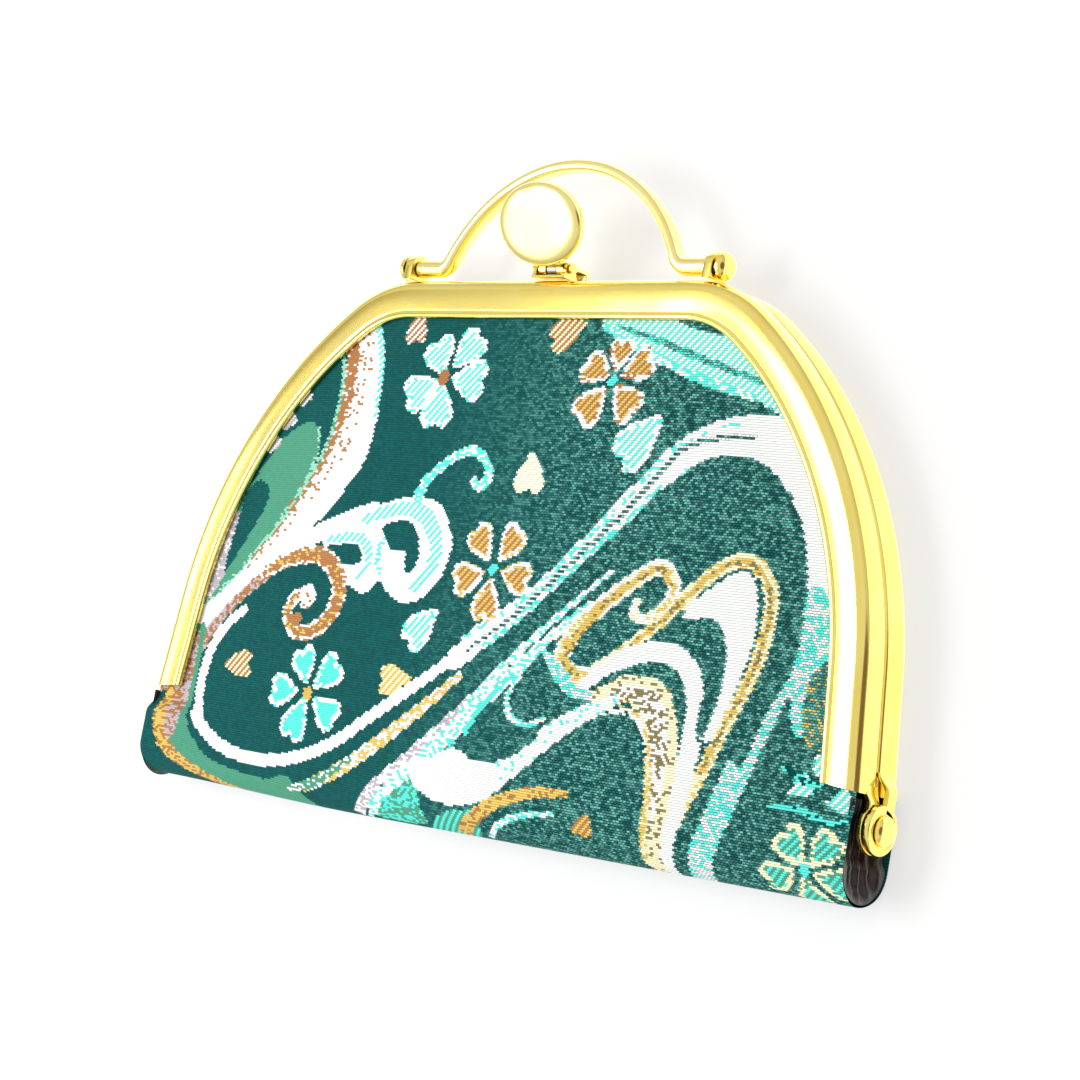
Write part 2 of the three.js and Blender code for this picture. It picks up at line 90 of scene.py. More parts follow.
CLOTH_THICKNESS = 1.3
FRONT_BULGE = 1.7
BACK_BULGE = 0.9
BULGE_REACH = 16
LEFT_LIFT = 1.1
WEFT = 0.46
WARP = 0.40
BACK_THREAD = 0.62

AXLE_HEIGHT = 2.9
AXLE_Z = 3.1
HANDLE_TOP = 24.2
HANDLE_RADIUS = 32.8
HANDLE_RISE = 2.4
HANDLE_BREADTH = 3.8
AXLE_RADIUS = 1.75
PIN_RADIUS = 1.1
LUG_PLACE = 38.3
LUG_THICKNESS = 2
LUG_RADIUS = 2.6
CAP_RADIUS = 2.6
CAP_HEIGHT = 2

LATCH_PIN_HEIGHT = 2.35
LATCH_Z = 4.3
LATCH_WIDTH = 8.4
CHEEK = 0.8
BARREL_RADIUS = 1.25
SPRING_ROOM = 1.4
TAB_WIDTH = 20.7
TAB_HEIGHT = 16
TAB_THICKNESS = 3.5
TAB_LEAN = radians(23)
TAB_RISE = 7.3
TAB_FORWARD = 5.9


def heading(turn):
    return np.array([sin(turn), cos(turn)])


LAST_TURN = SHOULDER_TURN + SIDE_TURN
SHOULDER_CENTRE = np.array([HALF_FLAT, -SHOULDER_RADIUS])
SIDE_CENTRE = SHOULDER_CENTRE + heading(SHOULDER_TURN) * (SHOULDER_RADIUS - SIDE_RADIUS)
SIDE_END = SIDE_CENTRE + heading(LAST_TURN) * SIDE_RADIUS
FRAME_END = SIDE_END + np.array([cos(LAST_TURN), -sin(LAST_TURN)]) * SIDE_STRAIGHT
HINGE_Y = FRAME_END[1] - HINGE_DROP
FRONT_EAR = FRAME_END[0] - EAR_INSET
BACK_EAR = FRONT_EAR + EAR_SHEET + GAP
CLOTH_HALF = FRONT_EAR - GAP - 0.1
BOTTOM_Y = FRAME_END[1] - CLOTH_DROP


def to_row(points):
    """Drawing millimetres to the row frame's metres."""
    return (np.asarray(points, float) + [0, ROW_Y, ROW_Z]) * MM


def row_point(x, y, z):
    return tuple(to_row([x, y, z]))


def smoothstep(value, start, reach):
    t = np.clip((value - start) / reach, 0, 1)
    return t * t * (3 - 2 * t)


# Camera: position and turns fitted to the frame's outline in the photo

CAMERA_AT = (346.2, -102.4, 371.2)
CAMERA_YAW = radians(42.61)
CAMERA_PITCH = radians(6.02)
CAMERA_ROLL = radians(10.28)
IMAGE_SIDE = 1080
FOCAL_PIXELS = 2690.2
SENSOR = 36


def add_camera():
    yaw, pitch, roll = CAMERA_YAW, CAMERA_PITCH, CAMERA_ROLL
    look = np.array([-sin(yaw) * cos(pitch), cos(yaw) * cos(pitch), sin(pitch)])
    right = np.array([cos(yaw), sin(yaw), 0])
    up = np.cross(right, look)
    tilted_right = cos(roll) * right + sin(roll) * up
    tilted_up = cos(roll) * up - sin(roll) * right

    def laid_down(v):
        return Vector((v[0], v[2], -v[1]))

    data = bpy.data.cameras.new("camera")
    data.sensor_fit = "HORIZONTAL"
    data.sensor_width = SENSOR
    data.lens = FOCAL_PIXELS / IMAGE_SIDE * SENSOR
    data.clip_start = 0.01
    camera = bpy.data.objects.new("camera", data)
    axes = [laid_down(tilted_right), laid_down(tilted_up), -laid_down(look)]
    place = Matrix(axes).transposed().to_4x4()
    place.translation = Vector(row_point(*CAMERA_AT))
    camera.matrix_world = place
    bpy.context.scene.collection.objects.link(camera)
    bpy.context.scene.camera = camera
    bpy.context.scene.view_settings.view_transform = "Standard"


# Materials


def linear(r, g, b):
    """An sRGB colour, 0 to 255, as linear values."""
    c = np.array([r, g, b]) / 255
    return np.where(c <= 0.04045, c / 12.92, ((c + 0.055) / 1.055) ** 2.4)


class Nodes:
    """Short names for building a node tree."""

    def __init__(self, name, tree=None):
        if tree is None:
            self.material = bpy.data.materials.new(name)
            self.material.use_nodes = True
            tree = self.material.node_tree
        self.tree = tree
        self.tree.nodes.clear()

    def add(self, kind, values=None, **settings):
        node = self.tree.nodes.new(kind)
        for key, value in settings.items():
            setattr(node, key, value)
        for key, value in (values or {}).items():
            socket = node.inputs[key]
            if isinstance(value, bpy.types.NodeSocket):
                self.tree.links.new(value, socket)
            else:
                socket.default_value = (*value, 1) if socket.type == "RGBA" else value
        return node

    def math(self, operation, a, b=0.0, c=0.0):
        return self.add("ShaderNodeMath", {0: a, 1: b, 2: c}, operation=operation).outputs[0]

    def noise(self, scale, detail, coordinates=None):
        where = coordinates or self.add("ShaderNodeTexCoord").outputs["Object"]
        return self.add("ShaderNodeTexNoise", {"Vector": where, "Scale": scale, "Detail": detail}).outputs[0]

    def ramp(self, factor, *stops):
        node = self.add("ShaderNodeValToRGB", {0: factor})
        elements = node.color_ramp.elements
        while len(elements) < len(stops):
            elements.new(0.5)
        for element, (place, colour) in zip(elements, stops):
            element.position = place
            element.color = (*colour, 1)
        return node.outputs[0]

    def range(self, value, low, high, to_low=0, to_high=1):
        return self.add("ShaderNodeMapRange", {0: value, 1: low, 2: high, 3: to_low, 4: to_high}).outputs[0]

    def mix(self, factor, a, b, blend="MIX"):
        values = {0: factor, 6: a, 7: b}
        return self.add("ShaderNodeMix", values, data_type="RGBA", blend_type=blend).outputs[2]

    def bump(self, height, strength, distance, normal=None):
        values = {"Height": height, "Strength": strength, "Distance": distance}
        if normal:
            values["Normal"] = normal
        return self.add("ShaderNodeBump", values).outputs[0]

    def surface(self, **values):
        shader = self.add("ShaderNodeBsdfPrincipled", {k.replace("_", " "): v for k, v in values.items()})
        self.output(shader.outputs[0])

    def wave(self, value):
        """From 0 at each whole number up to 1 halfway to the next."""
        return self.math("ABSOLUTE", self.math("SINE", self.math("MULTIPLY", value, pi)))

    def output(self, socket):
        self.add("ShaderNodeOutputMaterial", {"Surface": socket})


def metal(name, colour, deep, roughness, wave):
    """Polished plate: worn a little duller and deeper in patches, with the faint waviness of rolled sheet."""
    n = Nodes(name)
    patches = n.noise(90, 4)
    fine = n.noise(1400, 2)
    base = n.mix(n.range(patches, 0.35, 0.7), colour, deep)
    worn = n.range(patches, 0.3, 0.75, roughness * 0.8, roughness * 1.3)
    dull = n.math("ADD", worn, n.math("MULTIPLY", fine, 0.04))
    waves = n.bump(n.noise(38, 1), wave, 0.0006)
    n.surface(Base_Color=base, Metallic=1.0, Roughness=dull, Normal=n.bump(fine, 0.02, 0.00005, waves))
    return n.material


def brocade_material():
    """Thread colours come with the mesh: this adds the weft's round threads and their lustre, with painted
    shade in the gaps between floats and a painted highlight on their tops.
    """
    n = Nodes("brocade")
    thread, gilt, relief_and_painted_shade = (
        n.add("ShaderNodeAttribute", attribute_name=layer).outputs[kind]
        for layer, kind in (("thread", "Color"), ("gilt", "Fac"), ("relief_and_painted_shade", "Fac"))
    )
    weave = n.add("ShaderNodeUVMap", uv_map="weave").outputs[0]
    split = n.add("ShaderNodeSeparateXYZ", {0: weave})
    u, v = split.outputs[0], split.outputs[1]
    weft = n.wave(v)
    float_at = n.math("MULTIPLY", n.math("ADD", u, n.math("FLOOR", v)), 0.5)
    knot = n.math("POWER", n.wave(float_at), 0.6)
    across = n.range(relief_and_painted_shade, 0, 1, 0.25, 0.8)
    crossing = n.math("SUBTRACT", 1.0, n.math("MULTIPLY", across, n.math("SUBTRACT", 1.0, knot)))
    height = n.math("MULTIPLY", weft, crossing)
    # Painted shade and highlight: thread colours darkened in the gaps between floats and brightened up to 1.3
    # times on their tops, more strongly where the relief value is high.
    shade = n.range(height, 0.15, 0.9, n.range(relief_and_painted_shade, 0, 1, 0.86, 0.22), n.range(relief_and_painted_shade, 0, 1, 1.0, 1.3))
    shade_colour = n.add("ShaderNodeCombineColor", {0: shade, 1: shade, 2: shade}).outputs[0]
    base = n.mix(1.0, thread, shade_colour, "MULTIPLY")
    fibres = n.noise(2600, 2)
    dull = n.math("SUBTRACT", n.range(fibres, 0.3, 0.7, 0.5, 0.7), n.math("MULTIPLY", gilt, 0.2))
    n.surface(
        Base_Color=base,
        Metallic=n.math("MULTIPLY", gilt, 0.3),
        Roughness=dull,
        Specular_IOR_Level=0.01,
        Normal=n.bump(height, 0.4, 0.0002, n.bump(fibres, 0.12, 0.00008)),
    )
    return n.material


def satin_material():
    n = Nodes("satin")
    coordinates = n.add("ShaderNodeTexCoord").outputs["Object"]
    soft = n.noise(70, 3)
    base = n.mix(n.range(soft, 0.35, 0.7), linear(16, 10, 9), linear(52, 32, 24))
    along_yarns = (900.0, 5200.0, 5200.0)
    stretched = n.add("ShaderNodeMapping", {"Vector": coordinates, "Scale": along_yarns}).outputs[0]
    yarns = n.noise(1.0, 2, stretched)
    dull = n.range(yarns, 0.3, 0.7, 0.2, 0.36)
    creases = n.bump(n.noise(150, 1), 0.35, 0.0012)
    n.surface(Base_Color=base, Roughness=dull, Sheen_Weight=0.25, Normal=n.bump(yarns, 0.2, 0.0001, creases))
    return n.material


def paper_material():
    n = Nodes("paper")
    coordinates = n.add("ShaderNodeTexCoord").outputs["Object"]
    values = {"Vector": coordinates, "Scale": 380.0, "Distortion": 3.0, "Detail": 2.0}
    twist = n.add("ShaderNodeTexWave", values, bands_direction="DIAGONAL").outputs[1]
    base = n.mix(twist, linear(150, 128, 94), linear(214, 196, 158))
    n.surface(Base_Color=base, Roughness=0.85, Normal=n.bump(twist, 0.5, 0.0003))
    return n.material


GOLD = metal("gold", linear(254, 234, 136), linear(249, 223, 116), 0.12, 0.3)
PALE_GOLD = metal("pale_gold", linear(255, 240, 165), linear(252, 229, 140), 0.2, 0.2)
STEEL = metal("spring_steel", linear(190, 190, 185), linear(150, 150, 150), 0.28, 0.1)
BROCADE = brocade_material()
SATIN = satin_material()
PAPER = paper_material()


# Mesh helpers


def mesh_object(name, points, faces, material, sharp=radians(38)):
    """A smooth-shaded piece from drawing millimetres, with edges turned further than sharp left crisp."""
    data = bpy.data.meshes.new(name)
    data.from_pydata(to_row(points).tolist(), [], [list(map(int, f)) for f in faces])
    data.validate()
    data.shade_smooth()
    data.set_sharp_from_angle(angle=sharp)
    data.materials.append(material)
    obj = bpy.data.objects.new(name, data)
    bpy.context.scene.collection.objects.link(obj)
    return obj


class Build:
    """Collects closed skins into one mesh."""

    def __init__(self):
        self.points, self.faces = [], []

    def add(self, points, faces):
        first = sum(len(p) for p in self.points)
        self.points.append(np.asarray(points, float))
        self.faces += [[first + i for i in f] for f in faces]

    def loft(self, rings):
        """A closed skin over rings of points."""
        rings = np.asarray(rings, float)
        count, n = rings.shape[:2]
        faces = [
            (k * n + i, k * n + (i + 1) % n, (k + 1) * n + (i + 1) % n, (k + 1) * n + i)
            for k in range(count - 1)
            for i in range(n)
        ]
        faces += [list(range(n))[::-1], [(count - 1) * n + i for i in range(n)]]
        self.add(rings.reshape(-1, 3), faces)

    def turned(self, profile, y, z, segments=64):
        """A [radius, x] profile turned about the line along X through (y, z)."""
        turns = np.linspace(0, 2 * pi, segments, endpoint=False)
        rings = []
        for r, x in profile:
            r = max(r, 0.001)
            rings.append(np.stack([np.full(segments, x), y + r * np.cos(turns), z + r * np.sin(turns)], 1))
        self.loft(rings)

    def mirror(self):
        """Adds a copy of everything so far, mirrored left to right."""
        self.add(np.concatenate(self.points) * [-1, 1, 1], [f[::-1] for f in self.faces])

    def object(self, name, material, slot, flip=(1, 1, 1), at=(0, 0, 0)):
        """The skins as one piece, mirrored on the axes where flip is -1, then moved by at."""
        faces = self.faces if np.prod(flip) > 0 else [f[::-1] for f in self.faces]
        return mesh_object(name, np.concatenate(self.points) * flip + at, faces, material)


def arc(centre_a, centre_b, radius, start, end, steps):
    a = np.linspace(start, end, steps + 1)
    return np.stack([centre_a + radius * np.cos(a), centre_b + radius * np.sin(a)], 1)


def grid_faces(shape):
    """Quads over a grid of points, row by row."""
    index = np.arange(shape[0] * shape[1]).reshape(shape[:2])
    return np.stack([index[:-1, :-1], index[:-1, 1:], index[1:, 1:], index[1:, :-1]], -1).reshape(-1, 4)


def round_corners(outline, radius, steps):
    """A closed outline with each corner rounded, the radius cut down on short sides."""
    pts = np.asarray(outline, float)
    result = []
    for i, p in enumerate(pts):
        before, after = pts[i - 1] - p, pts[(i + 1) % len(pts)] - p
        r = min(radius, np.linalg.norm(before) * 0.45, np.linalg.norm(after) * 0.45)
        a = p + before / np.linalg.norm(before) * r
        b = p + after / np.linalg.norm(after) * r
        for t in np.linspace(0, 1, steps + 1):
            result.append((1 - t) ** 2 * a + 2 * t * (1 - t) * p + t * t * b)
    return np.array(result)


def drawn_in(outline, inset):
    """A closed outline moved inward by inset along its corners' normals."""
    pts = np.asarray(outline, float)
    along = np.roll(pts, -1, 0) - np.roll(pts, 1, 0)
    along /= np.linalg.norm(along, axis=1, keepdims=True) + 1e-12
    area = np.sum(pts[:, 0] * np.roll(pts[:, 1], -1) - pts[:, 1] * np.roll(pts[:, 0], -1))
    inward = np.stack([-along[:, 1], along[:, 0]], 1) * np.sign(area)
    return pts + inward * inset


def plate(build, outline, x0, x1, edge):
    """A plate from x0 to x1 with outline in y and z and its edges rounded by edge."""
    turns = np.linspace(pi / 2, 0, 4)
    rings = [(x0 + edge * (1 - sin(a)), drawn_in(outline, edge * (1 - cos(a)))) for a in turns]
    far = [(x0 + x1 - x, ring) for x, ring in rings[::-1]]
    build.loft([np.column_stack([np.full(len(r), x), r]) for x, r in rings + far])


# The frame


def frame_stations():
    """Places along the frame's outer edge from its left end to its right end, and the ways inward there."""
    places, inward = [], []
    shoulder = (SHOULDER_CENTRE, SHOULDER_RADIUS, 0, SHOULDER_TURN, 30)
    side = (SIDE_CENTRE, SIDE_RADIUS, SHOULDER_TURN, LAST_TURN, 54)
    for centre, radius, start, end, steps in (shoulder, side):
        for turn in np.linspace(start, end, steps, endpoint=False):
            places.append(centre + heading(turn) * radius)
            inward.append(-heading(turn))
    for t in np.linspace(0, 1, 9):
        places.append(SIDE_END + (FRAME_END - SIDE_END) * t)
        inward.append(-heading(LAST_TURN))
    run = np.array([cos(LAST_TURN), -sin(LAST_TURN)])
    inward[-1] = inward[-1] - run * END_SLANT
    places, inward = np.array(places), np.array(inward)
    middle = np.linspace(-1, 1, 19)[1:-1, None] * [HALF_FLAT, 0]
    flip = np.array([-1, 1])
    places = np.concatenate([places[::-1] * flip, middle, places])
    inward = np.concatenate([inward[::-1] * flip, np.tile([0, -1], (len(middle), 1)), inward])
    return places, inward


PLACES, INWARD = frame_stations()


def channel():
    """The rolled channel of the front half: rounded outer edge, pressed groove and turned-in lip."""
    face = HALF_DEPTH
    bend = HALF_DEPTH - EDGE_RADIUS
    groove = FACE_WIDTH - 1.5
    lip_end = face - LIP_DEPTH
    section = np.concatenate([
        [[INNER_WIDTH, MEET], [SHEET, MEET]],
        [[0.62, MEET + 0.06], [0.42, MEET + 0.24], [0.28, MEET + 0.55], [0.14, MEET + 1.1]],
        arc(EDGE_RADIUS, bend, EDGE_RADIUS, pi, pi / 2, 16),
        [[groove - 0.3, face], [groove, face - 0.05], [groove + 0.16, face - 0.13]],
        [[groove + 0.34, face - 0.08], [groove + 0.6, face]],
        arc(FACE_WIDTH - LIP_RADIUS, face - LIP_RADIUS, LIP_RADIUS, pi / 2, 0, 8),
        [[FACE_WIDTH - 0.1, lip_end], [FACE_WIDTH - 0.8, lip_end], [FACE_WIDTH - 1.1, face - SHEET]],
        arc(EDGE_RADIUS, bend, EDGE_RADIUS - SHEET, pi / 2, pi, 6),
        [[SHEET, MEET + SHEET + 0.4], [SHEET + 0.4, MEET + SHEET], [INNER_WIDTH, MEET + SHEET]],
    ])
    build = Build()
    stations = zip(PLACES, INWARD)
    build.loft([np.column_stack([at + inward * section[:, :1], section[:, 1]]) for at, inward in stations])
    return build


def wall_at(y):
    """The channel's outer side at height y, on the straight run above the frame's end."""
    return FRAME_END[0] - (y - FRAME_END[1]) / tan(LAST_TURN)


def ear(build, x0, rise):
    """Ear at x0 on a strap that leaves the channel's wall at a height rise above the frame's end."""
    wall = HALF_DEPTH - EDGE_RADIUS
    leaving = FRAME_END[1] + rise
    start_x = wall_at(leaving) - EAR_SHEET - 0.02
    rings = []
    for t in np.linspace(0, 1, 15):
        y = leaving - STRAP_RUN * t
        ease = t * t * (3 - 2 * t)
        rings.append((y, start_x + (x0 - start_x) * ease, wall - STRAP_TAPER * ease))
    for k in (0.6, 0.3, 0):
        in_ear = 0.9 * EAR_RADIUS * sqrt(1 - k * k)
        rings.append((HINGE_Y + EAR_RADIUS * k, x0, min(wall - STRAP_TAPER, in_ear)))
    edge = 0.2
    skins = []
    for y, x, z in rings:
        outline = round_corners([[x, MEET], [x + EAR_SHEET, MEET], [x + EAR_SHEET, z], [x, z]], edge, 3)
        skins.append(np.column_stack([outline[:, 0], np.full(len(outline), y), outline[:, 1]]))
    build.loft(skins)
    x1 = x0 + EAR_SHEET
    r = EAR_RADIUS
    disc = [(r - edge, x0), (r, x0 + edge), (r, x1 - edge), (r - 0.06, x1 - 0.06), (r - edge, x1)]
    build.turned(disc, HINGE_Y, 0, 96)


def front_frame():
    b, ears = channel(), Build()
    ear(ears, FRONT_EAR, FRONT_STRAP_RISE)
    ears.mirror()
    b.add(np.concatenate(ears.points), ears.faces)
    obj = b.object("front_frame_plate", GOLD, "gold")
    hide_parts("front_frame")
    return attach(obj, "front")


def back_frame():
    """Drawn as the front half is, with the raised rim and ring of its ears, and then mirrored to the back."""
    b, ears = channel(), Build()
    ear(ears, BACK_EAR, BACK_STRAP_RISE)
    out = BACK_EAR + EAR_SHEET
    rim = EAR_RADIUS - EAR_RIM
    raised_rim = [(rim - 0.1, -0.25), (rim, 0), (rim + 0.15, 0.17), (rim + 0.4, 0.22), (rim + 0.62, 0.14),
                  (EAR_RADIUS - 0.04, -0.05), (EAR_RADIUS - 0.04, -0.25)]
    ring = RIVET_HEAD + 0.15
    raised_ring = [(ring - 0.3, -0.2), (ring - 0.1, 0.12), (ring + 0.12, 0.12), (ring + 0.25, -0.2)]
    for profile in (raised_rim, raised_ring):
        ears.turned([(r, out + rise) for r, rise in profile], HINGE_Y, 0, 96)
    ears.mirror()
    b.add(np.concatenate(ears.points), ears.faces)
    obj = b.object("back_frame_plate", GOLD, "gold", flip=(1, 1, -1))
    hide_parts("back_frame")
    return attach(obj, "back")


def dome(radius, height, rim, face):
    """Profile of a domed head with a straight rim, from the face it stands on."""
    return [(radius * cos(a), face + rim + (height - rim) * sin(a)) for a in np.linspace(0, pi / 2, 14)]


def rivets():
    face, tail = BACK_EAR + EAR_SHEET + GAP, FRONT_EAR - GAP
    tail_end = tail - RIVET_TAIL_HEIGHT
    peened = [(0, tail_end), (RIVET_TAIL - 0.15, tail_end), (RIVET_TAIL, tail_end + 0.15), (RIVET_TAIL, tail)]
    shank = [(RIVET_RADIUS, tail), (RIVET_RADIUS, face), (RIVET_HEAD, face)]
    b = Build()
    b.turned(peened + shank + dome(RIVET_HEAD, RIVET_DOME, 0.3, face), HINGE_Y, 0)
    for side, node in ((1, "hinge_rivet_right"), (-1, "hinge_rivet_left")):
        obj = b.object(node + "_dome", GOLD, "gold", flip=(side, 1, 1))
        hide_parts(node)
        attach(obj, "back")


# Handle


def handle():
    radius = HANDLE_RADIUS - HANDLE_RISE / 2
    centre = HANDLE_TOP - HANDLE_RADIUS - AXLE_HEIGHT
    foot_turn = acos(-centre / radius)
    start = foot_turn - 0.075

    def on_arch(a):
        return np.array([radius * sin(a), centre + radius * cos(a)])

    corner = np.array([radius * sin(foot_turn), 0.0])
    inner = np.array([corner[0] + 2.2, 0.0])
    axle_out = LUG_PLACE - LUG_THICKNESS / 2 - GAP
    half = [(np.array([axle_out, 0.0]), 1.0)]
    for t in np.linspace(0, 1, 14, endpoint=False):
        half.append(((1 - t) ** 2 * inner + 2 * t * (1 - t) * corner + t * t * on_arch(start), 1 - t))
    half += [(on_arch(a), 0.0) for a in np.linspace(start, 0, 40)]
    half += [(p * [-1, 1], r) for p, r in half[-2::-1]]
    line = np.array([p for p, _ in half])
    tangent = np.gradient(line, axis=0)
    tangent[0] = tangent[-1] = (-1, 0)
    tangent /= np.linalg.norm(tangent, axis=1, keepdims=True)
    section = np.linspace(0, 2 * pi, 32, endpoint=False)
    rings = []
    for (p, r), t in zip(half, tangent):
        rise = HANDLE_RISE / 2 + (AXLE_RADIUS - HANDLE_RISE / 2) * r
        breadth = HANDLE_BREADTH / 2 + (AXLE_RADIUS - HANDLE_BREADTH / 2) * r
        c, s = np.cos(section), np.sin(section)
        flat = 0.72 + 0.28 * r
        c, s = np.sign(c) * np.abs(c) ** flat, np.sign(s) * np.abs(s) ** flat
        rings.append(np.column_stack([p[0] - t[1] * rise * c, p[1] + t[0] * rise * c, breadth * s]))
    b = Build()
    b.loft(rings)
    pin_end = LUG_PLACE + LUG_THICKNESS / 2 + GAP
    for side in (1, -1):
        b.turned([(PIN_RADIUS, side * (axle_out - 1)), (PIN_RADIUS, side * pin_end)][::side], 0, 0, 32)
    axle = (0, AXLE_HEIGHT, AXLE_Z)
    obj = b.object("handle_bar", PALE_GOLD, "pale_gold", at=axle)
    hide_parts("handle_arch")
    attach(obj, "handle")
    x0, x1 = LUG_PLACE - LUG_THICKNESS / 2, LUG_PLACE + LUG_THICKNESS / 2
    face = x1 + 2 * GAP
    foot = -AXLE_HEIGHT + GAP
    round_top = arc(0, 0, LUG_RADIUS, pi / 2, -pi / 2, 32)
    cap, lug = Build(), Build()
    rim = [(CAP_RADIUS - 0.15, face), (CAP_RADIUS, face + 0.15)]
    cap.turned(rim + dome(CAP_RADIUS, CAP_HEIGHT, 0.5, face), 0, 0)
    plate(lug, np.concatenate([[[foot, -LUG_RADIUS], [foot, LUG_RADIUS]], round_top]), x0, x1, 0.2)
    for side, name in ((1, "right"), (-1, "left")):
        for b, node, body in ((cap, "handle_cap_" + name, "handle"), (lug, "handle_lug_" + name, "front")):
            obj = b.object(node + "_smooth", GOLD, "gold", flip=(side, 1, 1), at=axle)
            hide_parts(node)
            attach(obj, body)


def latch():
    b = Build()
    arcs = np.linspace(-pi / 2, pi / 2, 34)
    turns = np.linspace(0, 2 * pi, 96, endpoint=False)
    lean_c, lean_s = cos(TAB_LEAN), sin(TAB_LEAN)
    rings = []
    for a in arcs:
        r = max(cos(a), 1e-4) ** 0.4
        d = copysign(abs(sin(a)) ** 0.65, sin(a)) * TAB_THICKNESS / 2
        x = TAB_WIDTH / 2 * r * np.cos(turns)
        w = TAB_HEIGHT / 2 * r * np.sin(turns)
        y = w * lean_c - d * lean_s
        z = w * lean_s + d * lean_c
        rings.append(np.column_stack([x, y + TAB_RISE, z + TAB_FORWARD]))
    b.loft(rings)
    in_cheeks = LATCH_WIDTH / 2 - CHEEK - GAP
    hook = [(0, 0), (1.15, 0), (1.15, -6.7), (-1.4, -6.7), (-1.4, -5.9), (0.35, -5.75), (0.35, -1.45)]
    neck = [(-0.2, 0), (1.15, -0.3), (1.65, 1.3), (1.86, 3.06), (0.96, 4.66), (0.1, 2.6)]
    for outline in (hook, neck):
        plate(b, round_corners(outline, 0.25, 2), -in_cheeks, in_cheeks, 0.15)
    for x0, x1 in ((-in_cheeks, -SPRING_ROOM), (SPRING_ROOM, in_cheeks)):
        b.turned([(BARREL_RADIUS, x0), (BARREL_RADIUS, x1)], 0, 0, 48)
    obj = b.object("latch_tab_smooth", PALE_GOLD, "pale_gold", at=(0, LATCH_PIN_HEIGHT, LATCH_Z))
    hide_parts("latch_tab")
    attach(obj, "latch")


# Cloth


def depth_inside(x, y):
    """How far points lie inside the frame's outline."""
    x = np.abs(x)
    sx, sy = x - SHOULDER_CENTRE[0], y - SHOULDER_CENTRE[1]
    cx, cy = x - SIDE_CENTRE[0], y - SIDE_CENTRE[1]
    shoulder = SHOULDER_RADIUS - np.hypot(sx, sy)
    side = SIDE_RADIUS - np.hypot(cx, cy)
    out = heading(LAST_TURN)
    straight = -((x - FRAME_END[0]) * out[0] + (y - FRAME_END[1]) * out[1])
    return np.where(x <= HALF_FLAT, -y,
                    np.where(np.arctan2(sx, sy) <= SHOULDER_TURN, shoulder,
                             np.where(np.arctan2(cx, cy) <= LAST_TURN, side, straight)))


def swell(x, y):
    inside = smoothstep(depth_inside(x, y), FACE_WIDTH + 0.7, BULGE_REACH)
    below = smoothstep(-y, -FRAME_END[1] + 1.5, 4)
    return np.maximum(inside, below)


FOLD_FRONT = CLOTH_FACE + FRONT_BULGE
FOLD_BACK = -CLOTH_FACE - BACK_BULGE
FOLD_Z = (FOLD_FRONT + FOLD_BACK) / 2
FOLD_RADIUS = (FOLD_FRONT - FOLD_BACK) / 2
FOLD_Y = BOTTOM_Y + FOLD_RADIUS
CLOTH_TOP = -CLOTH_INSET


def cloth_point(x, run, lift, bulge, side):
    """Where cloth lies: run is the way down from its top edge, lift its depth under the outer face."""
    straight = CLOTH_TOP - FOLD_Y
    y = np.where(run < straight, CLOTH_TOP - run, FOLD_Y)
    z = side * (CLOTH_FACE - lift + bulge * swell(x, y))
    radius = FOLD_RADIUS - lift
    turn = np.clip((run - straight) / radius, 0, None)
    below = run >= straight
    y = np.where(below, FOLD_Y - radius * np.sin(turn), y)
    z = np.where(below, FOLD_Z + side * radius * np.cos(turn), z)
    y = y + LEFT_LIFT * smoothstep(-x, 30, 60) * smoothstep(-y, 93, 12)
    return y, z


